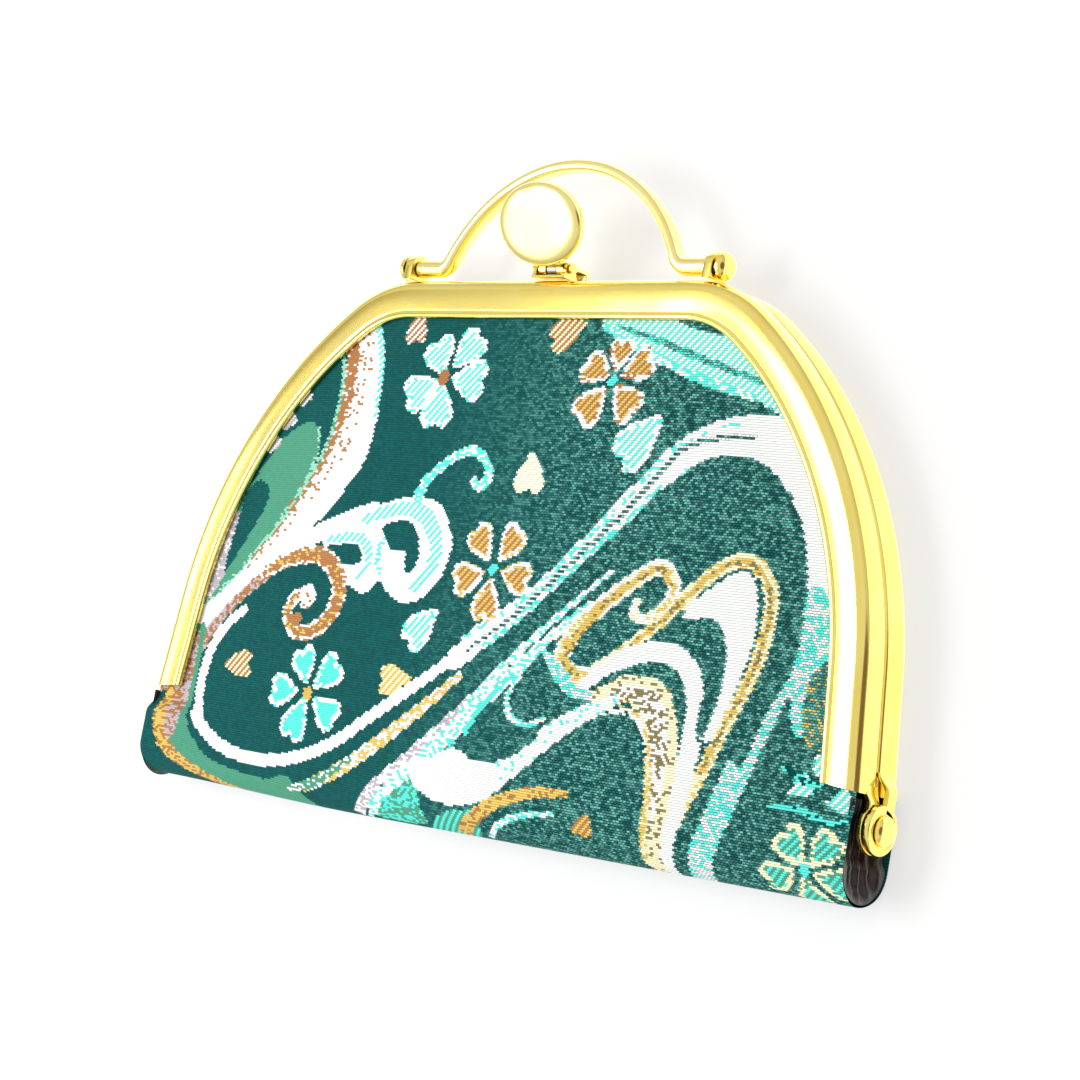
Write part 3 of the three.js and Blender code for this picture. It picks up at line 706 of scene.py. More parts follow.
def cloth_grid(name, side, bulge, warp, weft, design):
    """Half of the outer cloth, from its edge in the channel to the middle of its turn under the pouch."""
    columns = int(round(2 * CLOTH_HALF / warp))
    length = CLOTH_TOP - FOLD_Y + FOLD_RADIUS * pi / 2
    rows = int(round(length / weft))
    x_edge = np.linspace(-CLOTH_HALF, CLOTH_HALF, columns + 1)
    run = np.linspace(0, length, rows + 1)
    x, r = np.meshgrid(x_edge, run)
    y, z = cloth_point(x, r, 0, bulge, side)
    flare = smoothstep(-y, 88, 5) * (1 - 0.6 * smoothstep(r, length - 6, 8))
    x = x + np.sign(x) * 1.0 * flare * np.clip(np.abs(x) / CLOTH_HALF, 0, 1) ** 10
    keep = depth_inside(x, np.maximum(y, FRAME_END[1] + 2)) > CLOTH_INSET
    keep |= (y < FRAME_END[1] + 2)
    face_keep = keep[:-1, :-1] & keep[1:, :-1] & keep[:-1, 1:] & keep[1:, 1:]
    index = np.arange(x.size).reshape(x.shape)
    quads = np.stack([index[:-1, :-1], index[1:, :-1], index[1:, 1:], index[:-1, 1:]], -1)
    quads = quads[face_keep][:, ::side]
    used = np.zeros(x.size, bool)
    used[quads.ravel()] = True
    renumber = np.cumsum(used) - 1
    points = np.stack([x.ravel(), y.ravel(), z.ravel()], 1)[used]
    obj = mesh_object(name, points, renumber[quads], BROCADE, sharp=pi)
    data = obj.data
    row, column = np.nonzero(face_keep)
    float_start = (column + row) // 2 * 2 - row
    middle_x = -CLOTH_HALF + (float_start + 1) * (x_edge[1] - x_edge[0])
    middle_run = CLOTH_TOP - (run[row] + run[row + 1]) / 2
    colour, gilt, relief_and_painted_shade = design(middle_x, middle_run, (column + row) // 2, row)
    for layer, kind, field, values in (
        ("thread", "FLOAT_COLOR", "color", np.column_stack([colour, np.ones(len(colour))])),
        ("gilt", "FLOAT", "value", gilt),
        ("relief_and_painted_shade", "FLOAT", "value", relief_and_painted_shade),
    ):
        attribute = data.attributes.new(layer, kind, "FACE")
        attribute.data.foreach_set(field, values.astype(np.float32).ravel())
    uv = data.uv_layers.new(name="weave")
    corners = np.stack([np.stack([column + i, row + j], 1) for i, j in ((0, 0), (0, 1), (1, 1), (1, 0))], 1)
    uv.data.foreach_set("uv", corners[:, ::side].astype(np.float32).ravel())
    return obj, length


# Brocade design, in millimetres from the middle of the frame's top edge

GROUND = linear(0, 85, 86)
WHITE = linear(252, 255, 252)
CYAN = linear(100, 244, 228)
MINT = linear(88, 164, 134)
MIST = linear(160, 222, 196)
COPPER = linear(184, 128, 80)
GILT = linear(226, 194, 104)
LILAC = linear(196, 186, 196)
CREAM = linear(255, 249, 206)
SPECK = linear(146, 132, 90)


def curve(points, closed=False):
    """A smooth line through points, which are given as x, y, x, y and so on."""
    p = np.reshape(points, (-1, 2)).astype(float)
    if closed:
        p = np.concatenate([p[-1:], p, p[:2]])
    else:
        p = np.concatenate([2 * p[:1] - p[1:2], p, 2 * p[-1:] - p[-2:-1]])
    t = np.linspace(0, 1, 6, endpoint=False)[:, None]
    out = []
    for a, b, c, d in zip(p[:-3], p[1:-2], p[2:-1], p[3:]):
        squared, cubed = 2 * a - 5 * b + 4 * c - d, 3 * b - a - 3 * c + d
        out.append(0.5 * (2 * b + (c - a) * t + squared * t**2 + cubed * t**3))
    return np.concatenate([*out, p[-2:-1]])


class Design:
    """Thread colours on the weft floats of the weave, painted in order."""

    def __init__(self, x, y, column, row):
        self.x, self.y = x, y
        n = len(x)
        self.colour = np.tile(GROUND, (n, 1))
        self.gilt = np.zeros(n)
        self.ground = np.ones(n, bool)
        chance = np.sin(column * 12.9898 + row * 78.233) * 43758.5453
        self.chance = chance - np.floor(chance)
        self.relief_and_painted_shade = np.zeros(n)
        self.stripe = column % 2 == 0
        self.step = row % 2 == 0

    def put(self, cells, colour, second=None, way="stripe", gilt=0.0):
        """Colours floats and sets their relief and painted shade, strong for dots and weak otherwise. A
        second colour comes as diagonal stripes, by steps from row to row, as scattered dots, or by chance in
        a share of them."""
        self.colour[cells] = colour
        self.gilt[cells] = gilt
        self.ground[cells] = colour is GROUND
        self.relief_and_painted_shade[cells] = 0.9 if way == "dot" else 0.1
        if second is not None:
            if way == "stripe":
                which = self.stripe[cells]
            elif way == "step":
                which = self.step[cells]
            else:
                which = self.chance[cells] < (0.5 if way == "dot" else way)
            self.colour[cells[which]] = second
            self.gilt[cells[which]] = 0.6 if second is GILT or second is COPPER else 0.0

    def near(self, low, high):
        x, y = self.x, self.y
        return np.nonzero((x > low[0]) & (x < high[0]) & (y > low[1]) & (y < high[1]))[0]

    def distance(self, line, reach):
        """Floats within reach of the line: their numbers, distances and places along it from 0 to 1."""
        cells = self.near(line.min(0) - reach, line.max(0) + reach)
        p = np.stack([self.x[cells], self.y[cells]], 1)
        best = np.full(len(cells), 1e9)
        place = np.zeros(len(cells))
        length = np.concatenate([[0], np.cumsum(np.linalg.norm(np.diff(line, axis=0), axis=1))])
        for k, (a, b) in enumerate(zip(line[:-1], line[1:])):
            ab = b - a
            size = np.linalg.norm(ab)
            if size < 1e-9:
                continue
            t = np.clip(((p - a) @ ab) / size**2, 0, 1)
            off = p - a - t[:, None] * ab
            d = np.hypot(off[:, 0], off[:, 1])
            closer = d < best
            best[closer] = d[closer]
            place[closer] = (length[k] + t[closer] * size) / length[-1]
        return cells, best, place

    def band(self, points, width, colour, second=None, way="stripe", gilt=0.0, edge=None, edge_width=0.7):
        """A stroke along points, its width spread evenly over them, with an optional dotted edge."""
        line = curve(points)
        widths = np.atleast_1d(np.asarray(width, float))
        cells, d, place = self.distance(line, widths.max())
        half = np.interp(place, np.linspace(0, 1, len(widths)), widths) / 2
        inside = d < half
        self.put(cells[inside], colour, second, way, gilt)
        if edge is not None:
            rim = cells[inside & (d > half - edge_width)]
            self.put(rim, edge, colour, 0.3)

    def area(self, points, colour, second=None, way="stripe", gilt=0.0, edge=None):
        """A closed field of colour with an optional edge line, 1 mm wide."""
        line = curve(points, closed=True)
        cells = self.near(line.min(0) - 1, line.max(0) + 1)
        px, py = self.x[cells], self.y[cells]
        inside = np.zeros(len(cells), bool)
        for (ax, ay), (bx, by) in zip(line[:-1], line[1:]):
            crosses = (ay > py) != (by > py)
            with np.errstate(divide="ignore", invalid="ignore"):
                at = ax + (py - ay) * (bx - ax) / (by - ay)
            inside ^= crosses & (px < at)
        self.put(cells[inside], colour, second, way, gilt)
        if edge is not None:
            rim, d, _ = self.distance(line, 1)
            self.put(rim[d < 0.5], edge, colour, 0.15)

    def petal(self, x, y, length, breadth, turn, colour, second=None, gilt=0.0, edge=None):
        """A cherry petal pointing along turn: narrow at its foot, broad and notched at its far end."""
        shape = [(-0.5, 0), (-0.3, 0.2), (0.02, 0.44), (0.3, 0.5), (0.48, 0.3), (0.42, 0.08), (0.36, 0),
                 (0.42, -0.08), (0.48, -0.3), (0.3, -0.5), (0.02, -0.44), (-0.3, -0.2)]
        px, py = np.array(shape).T * [[length], [breadth]]
        c, s = cos(turn), sin(turn)
        turned = np.stack([x + px * c - py * s, y + px * s + py * c], 1)
        self.area(turned, colour, second, "stripe", gilt, edge)

    def blossom(self, x, y, petals, colour, edge, heart, second, gilt, heart_size):
        for px, py, length, breadth in petals:
            self.petal(px, py, length, breadth, atan2(py - y, px - x), colour, second, gilt, edge)
        cells = self.near((x - 3, y - 3), (x + 3, y + 3))
        self.put(cells[np.hypot(self.x[cells] - x, self.y[cells] - y) < heart_size], heart)


def brocade(x, y, column, row):
    d = Design(x, y, column, row)
    # Lobes of the upper left
    d.area([-60, -30, -56, -30.5, -53.5, -35, -55, -42, -60, -50, -66, -57, -77, -67, -84, -72, -84, -58,
        -79, -50, -73, -43, -66, -33.5], MINT)
    d.band([-55, -31, -53.5, -36, -55.5, -43, -61, -51, -68, -59, -80, -69], [0.8, 1.1, 1.3, 1.4, 1.2], MIST,
        MINT, 0.4)
    d.area([-77, -49, -74.5, -50.5, -73.5, -54, -74.5, -59, -78, -66, -86, -72, -86, -56], LILAC, WHITE, 0.3)
    d.area([-70.5, -42.3, -67, -44, -66.5, -47.5, -69, -52, -72.5, -57.5, -76, -62, -75.8, -56, -74.8, -50,
        -74, -45], GROUND)
    for px, py in ((-61.6, -25), (-65, -30), (-68.4, -35)):
        d.petal(px, py, 4.6, 2.4, 0.9, LILAC, WHITE)
    # S-shaped stream
    d.area([-56, -6, -51.5, -15, -50.3, -22, -49.8, -30, -51, -36, -55, -44, -60, -51, -66, -57.5, -73, -64,
        -86, -74, -84, -78, -80, -74, -71, -66, -62, -59.5, -54, -54, -48, -49, -43, -43, -39.5, -38,
        -38, -30, -38.6, -22, -41, -16, -45, -9.5, -46, -5], WHITE)
    d.area([-49, -8, -44, -14, -43, -24, -44.5, -34, -49, -42, -55, -49, -62, -56, -70, -62.5, -66, -58,
        -58, -48, -52, -38, -50.5, -28, -51.5, -16], WHITE, COPPER, 0.2)
    d.area([-54, -9, -49, -13, -47.6, -20, -47, -27, -48.6, -34, -52, -41, -57, -48, -62, -54, -68, -59.6,
        -64, -54.5, -59, -47.6, -54, -40, -50.8, -33, -50.1, -25, -51, -18], COPPER, WHITE, 0.14, gilt=0.4)
    d.band([-53.5, -13, -51, -22, -50.3, -30, -51.8, -36.5, -56, -44.5, -61.5, -52, -68, -58.5], [1.1, 1.1,
        1, 0.9, 0.8], MIST, MINT, 0.3)
    d.band([-44.5, -9, -40.8, -16.5, -39, -22, -38.6, -28], [1.8, 1.6, 1.2, 0.8], CYAN, WHITE)
    # Comma
    d.band([-86, -78, -78, -72, -70, -65.8, -60, -58.8, -50, -53.2, -41, -49.6, -34, -47.6], [1.6, 2.4, 3.2,
        3.4, 3.6, 4, 4.4], WHITE)
    d.area([-42, -50.5, -36, -47, -30, -45, -25, -43.8, -20, -43.8, -16, -45, -13, -48.5, -11.2, -52,
        -11.8, -57, -14, -61, -18, -64, -22, -64.5, -26, -63, -29, -60.5, -31, -63, -34, -63.5, -38, -61.8,
        -39, -59.6, -41, -58, -46.5, -56, -45.5, -53], WHITE)
    d.band([-36, -49, -30, -47, -24, -46.2, -18.5, -48.2, -15.2, -53, -16, -58.5, -19.5, -61.5], [2, 2.6, 3,
        3.4, 3.4, 3, 2], CYAN, WHITE)
    d.area([-30.5, -50, -27, -48.8, -23, -49, -20.5, -51.5, -19.5, -55, -20.5, -58.5, -22.5, -58.2,
        -23.5, -54.5, -27.5, -54.5, -29, -52.5], GROUND)
    d.area([-46, -55.4, -41, -54.3, -36, -54.5, -35, -57, -37, -58.2, -41, -57.8], GROUND)
    d.band([-45, -53.6, -38, -52.6, -34, -54.2, -33, -58, -35, -60.6], [1.2, 2, 2.2, 2, 1.4], CYAN, WHITE)
    d.band([-30, -52.5, -30.5, -57, -28.5, -60.5], 1.2, CYAN, WHITE, 0.4)
    # Hook
    d.band([-22.5, -43.5, -21, -40.5, -17, -37, -12, -34.3, -8.5, -34.5, -5.5, -37, -5, -39.4, -7, -41,
        -8.6, -40], [2.6, 2.2, 2, 2, 2.1, 2.2, 2.1, 1.8], CYAN, WHITE, 0.4)
    # Copper curl with dotted white edges
    d.band([-84, -92, -81, -84, -79, -78, -74, -71.6, -68, -66.6, -61, -61.6], [4, 3.4, 2.8, 2.4, 2.6],
        LILAC, COPPER, 0.55)
    d.band([-62, -61.6, -57, -58.9, -52, -57.3, -46, -57, -41.5, -60, -39.5, -64, -41, -69, -45, -72,
        -50, -72.5, -53, -69, -51.5, -65.6, -49, -64.4], [2.6, 3.2, 3.6, 4, 4.2, 4.2, 4, 3.8, 3.4, 3, 2.8,
        2.4], COPPER, GILT, 0.25, 0.5, WHITE, 0.8)
    d.area([-50.5, -64, -48, -62.9, -45.8, -64.6, -46.6, -67.2, -49.4, -67.6], WHITE, COPPER, 0.12)
    d.area([-51.6, -70, -50, -68.6, -48.4, -70, -50, -71.4], COPPER, gilt=0.6)
    # Loop of the lower left with its outer bands
    d.area([-94, -84, -79.5, -73, -78.3, -84, -77.5, -92, -73, -98, -66, -101.5, -52, -103, -44, -101.5,
        -40, -112, -70, -112, -94, -108], MINT)
    d.area([-94, -84, -82, -75, -79.8, -78, -79.8, -88, -79.5, -94, -82, -99, -94, -100], LILAC, COPPER, 0.5)
    d.area([-96, -96, -88, -88, -84.5, -90, -83.5, -96, -79, -101.5, -70, -106, -66, -112, -96, -112],
        GROUND)
    d.band([-86, -86, -85.5, -92, -84, -97.5, -79, -102, -70, -106, -60, -110], [2.2, 3.4, 3.4, 3, 2.6, 2],
        GILT, COPPER, 0.4, 0.6)
    d.band([-66, -69.5, -70, -72, -74.5, -77, -76.3, -84, -75, -91, -70, -95.5, -62, -98.5, -52, -99,
        -42, -97, -33, -93, -25, -87.5, -17, -82, -9, -76.5, -2, -71], [2, 2.8, 3, 3, 2.9, 2.8, 2.7, 2.6,
        2.6, 2.6, 2.5, 2.4, 2.4], WHITE)
    # Stripes below the loop
    d.band([-40, -103, -30, -98, -20, -91, -10, -83, -3, -77], [2.2, 3, 3, 2.6, 1.6], GILT, WHITE, "dot",
        0.5)
    d.band([-44, -104, -36, -101, -28, -96], [1.8, 2, 1.2], MINT, WHITE, 0.3)
    d.band([-26, -107, -20, -100, -12, -93, -2, -84, 6, -76], [2.6, 2.4, 2.2, 2, 1.4], WHITE, LILAC, 0.4)
    d.area([-22, -107, -14, -99, -7, -93, -1, -88.5, -3, -93, -9, -96, -8, -101, -8, -107], MINT, CYAN,
        "dot")
    d.band([-24, -108, -17, -100.5, -9, -94, 0, -85, 5, -80, 10, -75.5, 20, -66, 26, -61], [1.6, 2.4, 3.4,
        3.6, 3.4, 3, 2, 1.2], WHITE, CYAN, 0.35)
    d.band([-6, -90, 0, -83, 8, -74, 16, -66.5, 24, -59.5, 30, -54.6], [1.2, 1.6, 1.8, 1.6, 1.2, 0.9], WHITE,
        CYAN, 0.3)
    # The long double diagonal
    d.area([-3, -69, 0, -66.5, 10, -60, 20, -50.5, 30, -40, 36, -33.5, 42, -29, 50, -25.5, 60, -24.5,
        70, -26, 84, -50, 86, -70, 76, -62, 73, -56, 71.5, -50, 69, -43.5, 65, -38, 60, -34, 55, -32.5,
        48, -33, 42, -36, 36, -40, 30, -46, 24, -51, 16, -58.5, 8, -66, 0, -73, -4, -76, -8, -75], WHITE)
    d.band([-4, -70, 4, -65.5, 12, -59.5, 21, -50.6, 31, -40.4, 37, -34, 43, -29.6, 52, -26.4], [0.9, 1.2,
        1.4, 1.4, 1.4, 1.2, 0.8], WHITE, CYAN, 0.4)
    d.band([2, -71, 9, -65.4, 17, -58, 25, -50.6, 31, -45.4, 37, -39.4, 43, -35.4], [1, 1.2, 1.3, 1.3, 1.1,
        0.8], WHITE, CYAN, 0.5)
    d.band([-2, -72, 10, -63, 20, -53.5, 28, -46, 36, -37.5, 41, -31.9, 48, -29.5, 56, -28.6], [0.7, 1, 1.1,
        1.2, 1.3, 1.2, 0.8], GROUND, WHITE, "step")
    # Wedge along the top right
    d.area([13, -4, 16, -8.4, 22, -11.5, 30, -14.5, 40, -18, 50, -20.5, 58, -23.5, 66, -26, 72, -14, 50, -3,
        30, -2], WHITE, CYAN)
    d.band([16, -9, 24, -12.6, 32, -15.4, 42, -18.8, 54, -21.8], [1, 1.6, 1.8, 1.8, 1], CYAN, WHITE, 0.35)
    d.band([20, -9, 30, -11.6, 40, -14.6, 50, -17.4, 58, -19.6], [0.9, 1.2, 1.4, 1.2, 0.8], GROUND, CYAN,
        0.5)
    d.band([33, -7, 38, -8.3, 44, -10], [1.6, 2, 1], GROUND)
    # Streams down the right
    d.band([74, -66, 70, -74, 67, -82, 64, -91, 61, -100, 58, -110], [3, 4.6, 5.4, 5.6, 5.4, 5], CYAN, WHITE,
        "dot")
    d.area([73, -54, 79, -58, 80.5, -66, 79, -74, 76, -80, 73.5, -76, 73, -66], CYAN, WHITE, "dot")
    d.area([76, -70, 81, -66, 84, -74, 82, -81, 77, -80], GROUND, GILT, 0.35)
    d.area([62, -82, 66, -74, 69, -66, 71, -56, 73, -60, 72.6, -68, 69.4, -76, 66, -86], GROUND)
    # Nested loops: the outer rope, then the inner one round its white crescent
    d.band([30, -74, 25, -74.4, 21.6, -73, 22, -69, 25, -64.6, 30, -60.2, 35.6, -56, 40.6, -53.3,
        44.4, -55.4, 44, -59.4, 40, -62.6, 36.6, -62.2, 36.8, -59.8], [3.4, 4.4, 4.2, 3.9, 3.7, 3.5, 3.4,
        3.2, 3, 2.6, 2.2, 1.7], CREAM, GILT, 0.5, 0, WHITE, 0.9)
    d.band([26, -74, 22.4, -72, 23.4, -68.4, 28, -62.4, 35.6, -56.2, 40.6, -53.6, 43.6, -56], [1.4, 1.8, 1.6,
        1.2, 1], GILT, SPECK, 0.3, 0.3)
    d.area([48, -62, 49.6, -58.8, 54, -55.4, 58, -53, 61.6, -53.4, 63.6, -58, 64, -66, 62, -74, 60, -81,
        57, -82.6, 58.6, -76, 59, -71, 58.4, -66, 55, -61.6], WHITE)
    d.band([30, -72.5, 34, -70, 38, -67, 44, -62, 50, -56, 55, -52.2, 60, -50.8, 64, -53, 66.4, -58, 66, -66,
        64, -73, 61, -80, 58, -88, 54, -97, 51, -108], [2.2, 2.4, 2.6, 2.8, 2.8, 2.8, 2.9, 2.9, 2.8, 2.7,
        2.6, 2.4], CREAM, GILT, 0.25)
    d.band([36, -68.6, 44, -62, 50, -56, 55, -52.3, 60, -51, 64, -53.4, 66.2, -58, 65.8, -66, 63.8, -73,
        60.8, -80, 57.6, -88], [0.8, 1.1, 1.1, 1.1, 1.1, 1], GILT, SPECK, 0.3)
    # Arch below them
    d.band([27, -76.6, 31, -73, 37, -69.8, 44, -68.2, 50, -69.8, 53.6, -75, 54.4, -82, 53.6, -92,
        51.4, -108], [2.4, 3.4, 3.8, 4, 4.4, 4.4, 4, 3.6], WHITE)
    d.area([30, -77, 34, -74.6, 38, -73, 46, -73.5, 50.5, -80, 52, -90, 50, -112, 47, -112, 47.5, -104,
        47, -94, 45.5, -86, 42, -79.8, 37, -77.8, 31, -79.2], CREAM, SPECK, 0.22)
    d.area([34, -76.4, 38, -74.6, 45, -75.4, 48.6, -81, 49.8, -90, 48.4, -100, 46.6, -90, 44, -81.4,
        39, -77], WHITE, SPECK, 0.4)
    d.band([37, -79, 42, -80.6, 45.4, -87, 47, -95, 47.4, -106], [0.8, 1.6, 1.8, 1.6], GILT, CREAM, 0.5, 0.3)
    d.area([46.4, -65.4, 52, -61.6, 56, -63.4, 58.2, -68, 58, -76, 56, -83, 55, -80, 55, -73, 51.6, -68.2],
        GROUND)
    d.area([16, -70, 22, -76.6, 28, -78.6, 31, -77, 26, -75.8, 21, -72], CYAN, WHITE, "dot")
    d.band([8, -98.6, 14, -93.4, 20, -88, 28, -82.5, 36, -79.6, 42, -81, 45, -87], [0.9, 1.1, 1.1, 1.1, 0.9,
        0.7], WHITE, GROUND, 0.25)
    # Drop and its band
    d.area([-12, -95.6, -6, -93.2, -2, -90.6, 4, -91.6, 9, -92.2, 14, -91.5, 21, -88.6, 14, -95, 8, -99.5,
        0, -101.2, -8, -99.6], WHITE)
    d.band([12, -92.4, 18, -88.4, 24, -84, 30, -80.4, 36, -77.6], [4.8, 4.6, 4, 3.2, 2.2], WHITE, CYAN, 0.12)
    d.band([15, -72, 11.4, -76.4, 10, -80.5, 12, -83.5, 16, -84.3, 20, -82.8], [0.8, 1.1, 1.2, 1.3, 1.1,
        0.8], WHITE, CYAN, 0.4)
    d.band([1, -87.4, 3.4, -83, 6.4, -79.6, 10.4, -75.8], [1.3, 1.1, 1, 0.8], CYAN)
    d.area([3, -92, 4.4, -85.4, 8.6, -82.6, 13, -86.4, 19, -85.6, 13, -90.8], GROUND)
    d.area([-9, -112, -3, -103.6, 4, -101.6, 8, -102.4, 2, -112], MINT, CYAN)
    d.band([2, -107, 6, -103, 11, -99.6, 16, -97.5, 22, -96, 28, -95.7], [2.8, 2.9, 2.7, 2.4, 2, 1.4], GILT,
        COPPER, 0.3, 0.6)
    d.band([9, -107, 13, -103, 19, -100.6, 26, -99.6], [1.4, 1.4, 1.2, 0.9], WHITE, CYAN, 0.4)
    # Blossoms
    d.blossom(-22, -20, [(-24.6, -15.6, 7.4, 7), (-17.6, -14.2, 8, 7), (-15, -20.2, 8.4, 7.6),
        (-21.9, -25.3, 8.8, 7.6), (-27.3, -22.6, 8, 7)], CYAN, WHITE, COPPER, WHITE, 0, 1.6)
    d.blossom(21.5, -19.5, [(16.8, -17.4, 6.6, 5.8), (21.5, -14.4, 5.6, 4.8), (26.6, -16.6, 6.8, 6.2),
        (25.6, -23.3, 7.2, 6.4), (17.6, -24.2, 7.6, 6.6)], COPPER, WHITE, CYAN, GILT, 0.5, 1.2)
    d.blossom(0.5, -56.5, [(-3.4, -51.7, 7, 5.6), (3.8, -51.4, 7, 5.6), (6.6, -57.5, 7, 5.6),
        (0.3, -62.3, 7.6, 6.2), (-5.4, -58.4, 7.2, 5.8)], GILT, WHITE, CYAN, COPPER, 0.5, 1.2)
    d.blossom(-43, -84.5, [(-45.3, -79, 6.6, 5.8), (-38.4, -80.2, 7.4, 6.2), (-37.2, -87.4, 7.6, 5.8),
        (-44.8, -89.8, 8.2, 6.6), (-49.8, -84.5, 7, 5.8)], CYAN, WHITE, GILT, None, 0, 1.3)
    d.blossom(82, -101.4, [(79, -98, 6.4, 5.4), (85, -97.8, 6.4, 5.4), (87.6, -103, 6.6, 5.4),
        (82.4, -106.6, 7, 5.8), (76.8, -103.4, 6.6, 5.4)], MINT, CREAM, CYAN, CYAN, 0, 1.2)
    for petal in ((78, -88, 5, 4, 0.6), (86, -89.5, 5.4, 4.2, 0.2), (81, -84, 4, 3, 1.2)):
        d.petal(*petal, WHITE, CYAN)
    d.band([73, -92, 79, -91.6, 85, -93.2, 90, -92], [0.8, 1.2, 0.8], CYAN, GROUND, 0.3)
    d.band([74, -85, 80, -87.4, 84, -86], [0.8, 1.1, 0.8], CYAN, GROUND, 0.3)
    for petal in (
        (-33, -9.4, 7.4, 5.6, -1.5, COPPER, WHITE, 0.5),
        (7.2, -10.2, 9, 6.6, 3.6, COPPER, CREAM, 0.5),
        (30.8, -30.4, 11.6, 8, 3.95, CYAN, WHITE, 0, WHITE),
        (5.4, -37.8, 8, 7.6, -1.5, CREAM, WHITE),
        (-15.3, -68.8, 9, 6.6, 3.95, CYAN, WHITE, 0, WHITE),
        (-65, -80.6, 8.6, 5.6, 0.1, COPPER, CREAM, 0.5),
        (-19.6, -79.4, 8.6, 6, 3.3, GILT, CREAM, 0.5),
        (33, -101, 5, 4, 0.4, GILT, COPPER, 0.5),
    ):
        d.petal(*petal)
    # Painted glints: lighter specks on the ground, a few everywhere and more to the right. To the right and
    # in the dotted figures the floats also get deeper relief and stronger painted shade and highlight, so
    # their ends show as dots
    right = smoothstep(x, -25, 60)
    painted_glints = (0.04 + 0.5 * right * d.chance**2)[:, None] * linear(150, 225, 205)
    chance = d.chance[:, None]
    figures = d.colour * (0.95 + 0.08 * chance)
    d.colour = np.where(d.ground[:, None], d.colour * (0.7 + 0.4 * chance) + painted_glints, figures)
    relief_and_painted_shade = np.where(d.ground, 0.3 + 0.7 * right, np.maximum(d.relief_and_painted_shade * right, 0.1 + 0.3 * right))
    return np.clip(d.colour, 0, 1), d.gilt, relief_and_painted_shade


def back_brocade(x, y, column, row):
    return brocade(-x, BOTTOM_Y - 2 - y, column, row)


def turn_with_halves(obj):
    """Bakes the cloth's placement into its mesh."""
    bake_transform(obj)


def outer_cloth():
    front, length = cloth_grid("outer_cloth_front", 1, FRONT_BULGE, WARP, WEFT, brocade)
    back, _ = cloth_grid("outer_cloth_back", -1, BACK_BULGE, BACK_THREAD, BACK_THREAD, back_brocade)
    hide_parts("front_panel", "bottom_fold")
    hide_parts("back_panel")
    for obj in (front, back):
        turn_with_halves(obj)


def half_width(y, inset, below):
    """Half the width at height y of the frame drawn in by inset, and the value below under its ends."""
    right = PLACES[:, 0] >= HALF_FLAT
    line = (PLACES + INWARD * inset)[right]
    width = np.interp(-y, -line[:, 1], line[:, 0])
    return width + (below - width) * smoothstep(-y, -FRAME_END[1] - 3, 3)


def lining_sheet():
    """One sheet from the front channel down round the turn and up into the back channel."""
    step = 1.2
    inset = CLOTH_INSET + 0.5
    low_half = CLOTH_HALF - 2.9
    lift = CLOTH_THICKNESS + GAP + 0.3
    straight = -inset - FOLD_Y
    length = straight + (FOLD_RADIUS - lift) * pi / 2
    share = np.linspace(-1, 1, int(2 * low_half / step) + 1)
    runs = np.linspace(-inset - CLOTH_TOP, length - inset - CLOTH_TOP, int(length / step) + 1)
    u, r = np.meshgrid(share, runs)
    both = []
    for side, bulge in ((1, FRONT_BULGE), (-1, BACK_BULGE)):
        level = np.maximum(CLOTH_TOP - r, FOLD_Y)
        x = u * half_width(level, inset, low_half)
        y, z = cloth_point(x, r, lift, bulge - 0.7, side)
        ripple = 0.2 * np.sin(x * 0.17 + y * 0.09) * np.sin(y * 0.12 - x * 0.05)
        ripple *= swell(x, np.maximum(y, FOLD_Y))
        both.append(np.stack([x, y, z - side * np.abs(ripple)], -1))
    grid = np.concatenate([both[0], both[1][::-1][1:]])
    obj = mesh_object("lining_sheet", grid.reshape(-1, 3), grid_faces(grid.shape), SATIN, sharp=pi)
    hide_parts("front_lining", "back_lining")
    turn_with_halves(obj)


def gussets():
    """Pleated satin that closes each end of the turn below the hinge."""
    lift, down = 0.45, 16
    top = FRAME_END[1] - 0.9
    radius = FOLD_RADIUS - lift
    straight = top - FOLD_Y
    edge_length = 2 * straight + pi * radius
    along = np.linspace(0, edge_length, 97)
    turn = np.clip((along - straight) / radius, 0, pi)
    from_end = np.minimum(along, edge_length - along)
    edge_y = np.where(from_end < straight, top - from_end, FOLD_Y - radius * np.sin(turn))
    edge_z = FOLD_Z + radius * np.cos(turn)
    for side, name in ((1, "right"), (-1, "left")):
        inner, s = np.meshgrid(np.arange(len(along)), np.linspace(0, 1, down), indexing="ij")
        spine_y = np.maximum(edge_y, FOLD_Y)
        y = edge_y[inner] + (spine_y - edge_y)[inner] * s
        z = edge_z[inner] + (FOLD_Z - edge_z[inner]) * s
        rim = CLOTH_HALF - 0.1 + 0.9 * smoothstep(-y, 97.4, 2.5)
        hollow = 1.5 * smoothstep(s, 0, 0.5) * (0.6 + 0.4 * smoothstep(-y, 88, 14))
        pleats = 0.5 * np.cos(5 * pi * (z - FOLD_Z) / radius + 0.5 * np.sin(y * 0.9))
        pleats *= smoothstep(s, 0.03, 0.25)
        x = rim - hollow + pleats * (0.7 + 0.5 * smoothstep(-y, 92, 8))
        points = np.stack([side * x, y, z], -1)
        quads = grid_faces(points.shape)[:, ::side]
        obj = mesh_object(f"gusset_{name}_satin", points.reshape(-1, 3), quads, SATIN, sharp=pi)
        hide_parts(f"gusset_{name}")
        turn_with_halves(obj)


# Stage


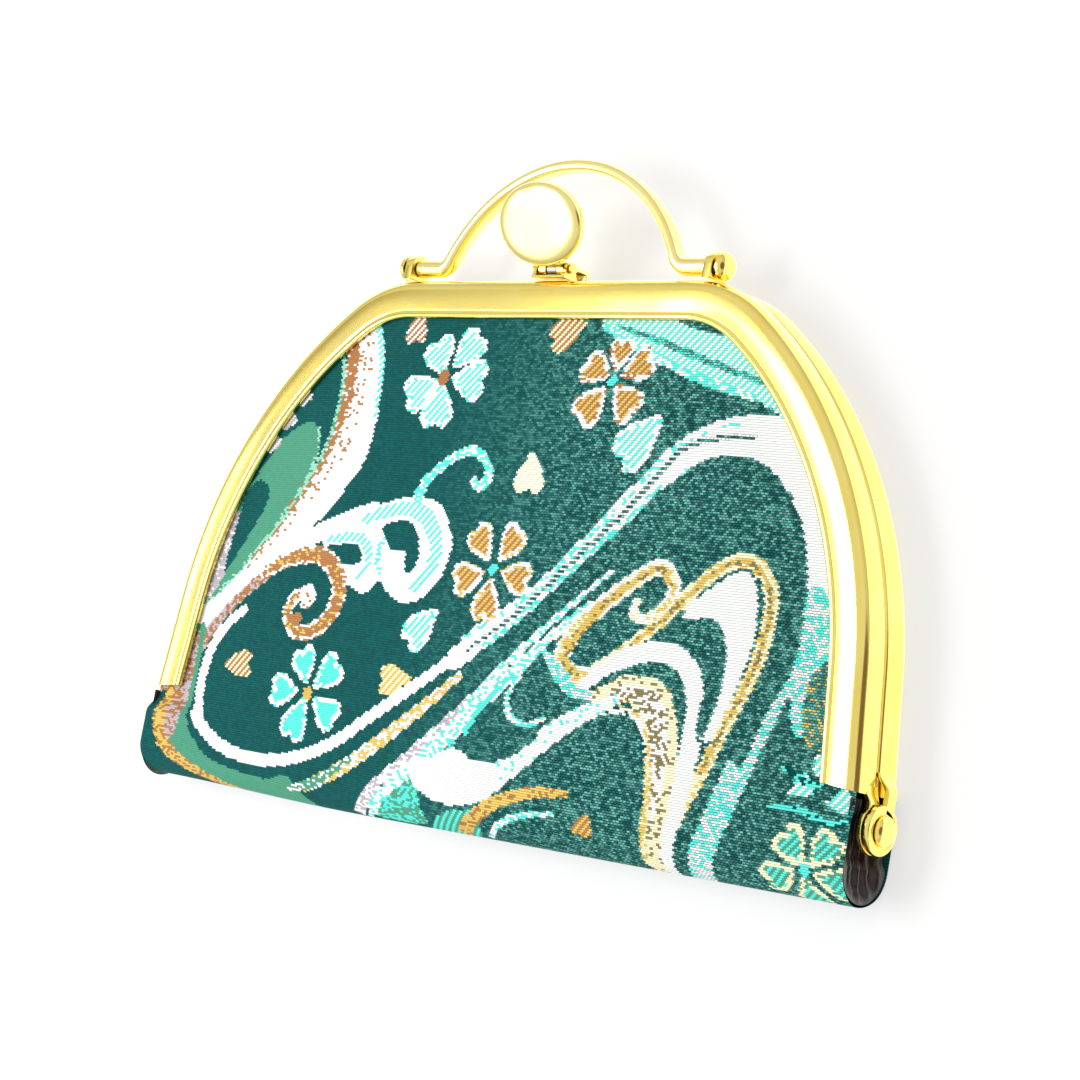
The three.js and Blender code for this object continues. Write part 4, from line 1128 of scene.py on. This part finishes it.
def floor_and_light():
    n = Nodes("floor")
    cloth = n.add("ShaderNodeBsdfDiffuse", {"Color": linear(250, 250, 250)}).outputs[0]
    path = n.add("ShaderNodeLightPath").outputs
    level = n.math("MULTIPLY_ADD", path["Is Glossy Ray"], 0.6, 0.99)
    glow = n.add("ShaderNodeEmission", {"Color": (1, 1, 1), "Strength": level}).outputs[0]
    seen = n.math("MULTIPLY_ADD", path["Is Camera Ray"], 0.62, n.math("MULTIPLY", path["Is Glossy Ray"], 0.8))
    n.output(n.add("ShaderNodeMixShader", {0: seen, 1: cloth, 2: glow}).outputs[0])
    data = bpy.data.meshes.new("floor")
    data.from_pydata([(-4, -4, 0), (4, -4, 0), (4, 4, 0), (-4, 4, 0)], [], [(0, 1, 2, 3)])
    data.materials.append(n.material)
    floor = bpy.data.objects.new("floor", data)
    bpy.context.scene.collection.objects.link(floor)

    world = bpy.data.worlds.new("studio")
    bpy.context.scene.world = world
    world.use_nodes = True
    n = Nodes(None, world.node_tree)
    towards = n.add("ShaderNodeTexCoord").outputs["Generated"]
    height = n.add("ShaderNodeSeparateXYZ", {0: towards}).outputs[2]
    greys = ((0.0, 0.5), (0.25, 0.6), (0.7, 0.85), (1.0, 0.8))
    sky = n.ramp(n.range(height, -0.2, 1), *((place, (grey, grey, grey)) for place, grey in greys))

    def lobe(colours, direction, full, none, level, tint=(1, 1, 1)):
        """The sky with a patch of another level: full and none are cosines from its middle."""
        axis = np.array(direction) / np.linalg.norm(direction)
        values = {0: towards, 1: tuple(axis)}
        cosine = n.add("ShaderNodeVectorMath", values, operation="DOT_PRODUCT").outputs["Value"]
        return n.mix(n.range(cosine, none, full), colours, tuple(level * np.array(tint)))

    sky = lobe(sky, (0.9, 0.0, 0.43), 0.94, 0.9, 0.2, (1, 0.72, 0.5))
    sky = lobe(sky, (-0.674, -0.4, 0.62), 0.985, 0.95, 2.4)
    sky = lobe(sky, (-0.7, 0.2, 0.69), 0.985, 0.95, 0.78)
    sky = lobe(sky, (-0.76, 0.21, 0.61), 0.9985, 0.994, 0.42, (1, 0.85, 0.7))
    background = n.add("ShaderNodeBackground", {"Color": sky, "Strength": 1.0})
    n.add("ShaderNodeOutputWorld", {"Surface": background.outputs[0]})

    def softbox(name, at, size, level):
        data = bpy.data.lights.new(name, "AREA")
        data.shape = "RECTANGLE"
        data.size, data.size_y = size
        data.energy = level * pi * size[0] * size[1]
        lamp = bpy.data.objects.new(name, data)
        lamp.location = at
        bpy.context.scene.collection.objects.link(lamp)

    softbox("key", (-0.46, -0.12, 0.8), (0.34, 0.66), 7)
    softbox("left", (-1.02, -0.05, 0.8), (0.2, 0.4), 4)


def carried_over():
    for node, material in (
        ("latch_yoke", GOLD), ("latch_pin", GOLD), ("latch_keeper", GOLD), ("latch_spring", STEEL),
        ("front_cord", PAPER), ("back_cord", PAPER),
    ):
        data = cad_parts[node].data
        data.materials.clear()
        data.materials.append(material)


add_camera()
floor_and_light()
front_frame()
back_frame()
rivets()
handle()
latch()
outer_cloth()
lining_sheet()
gussets()
carried_over()
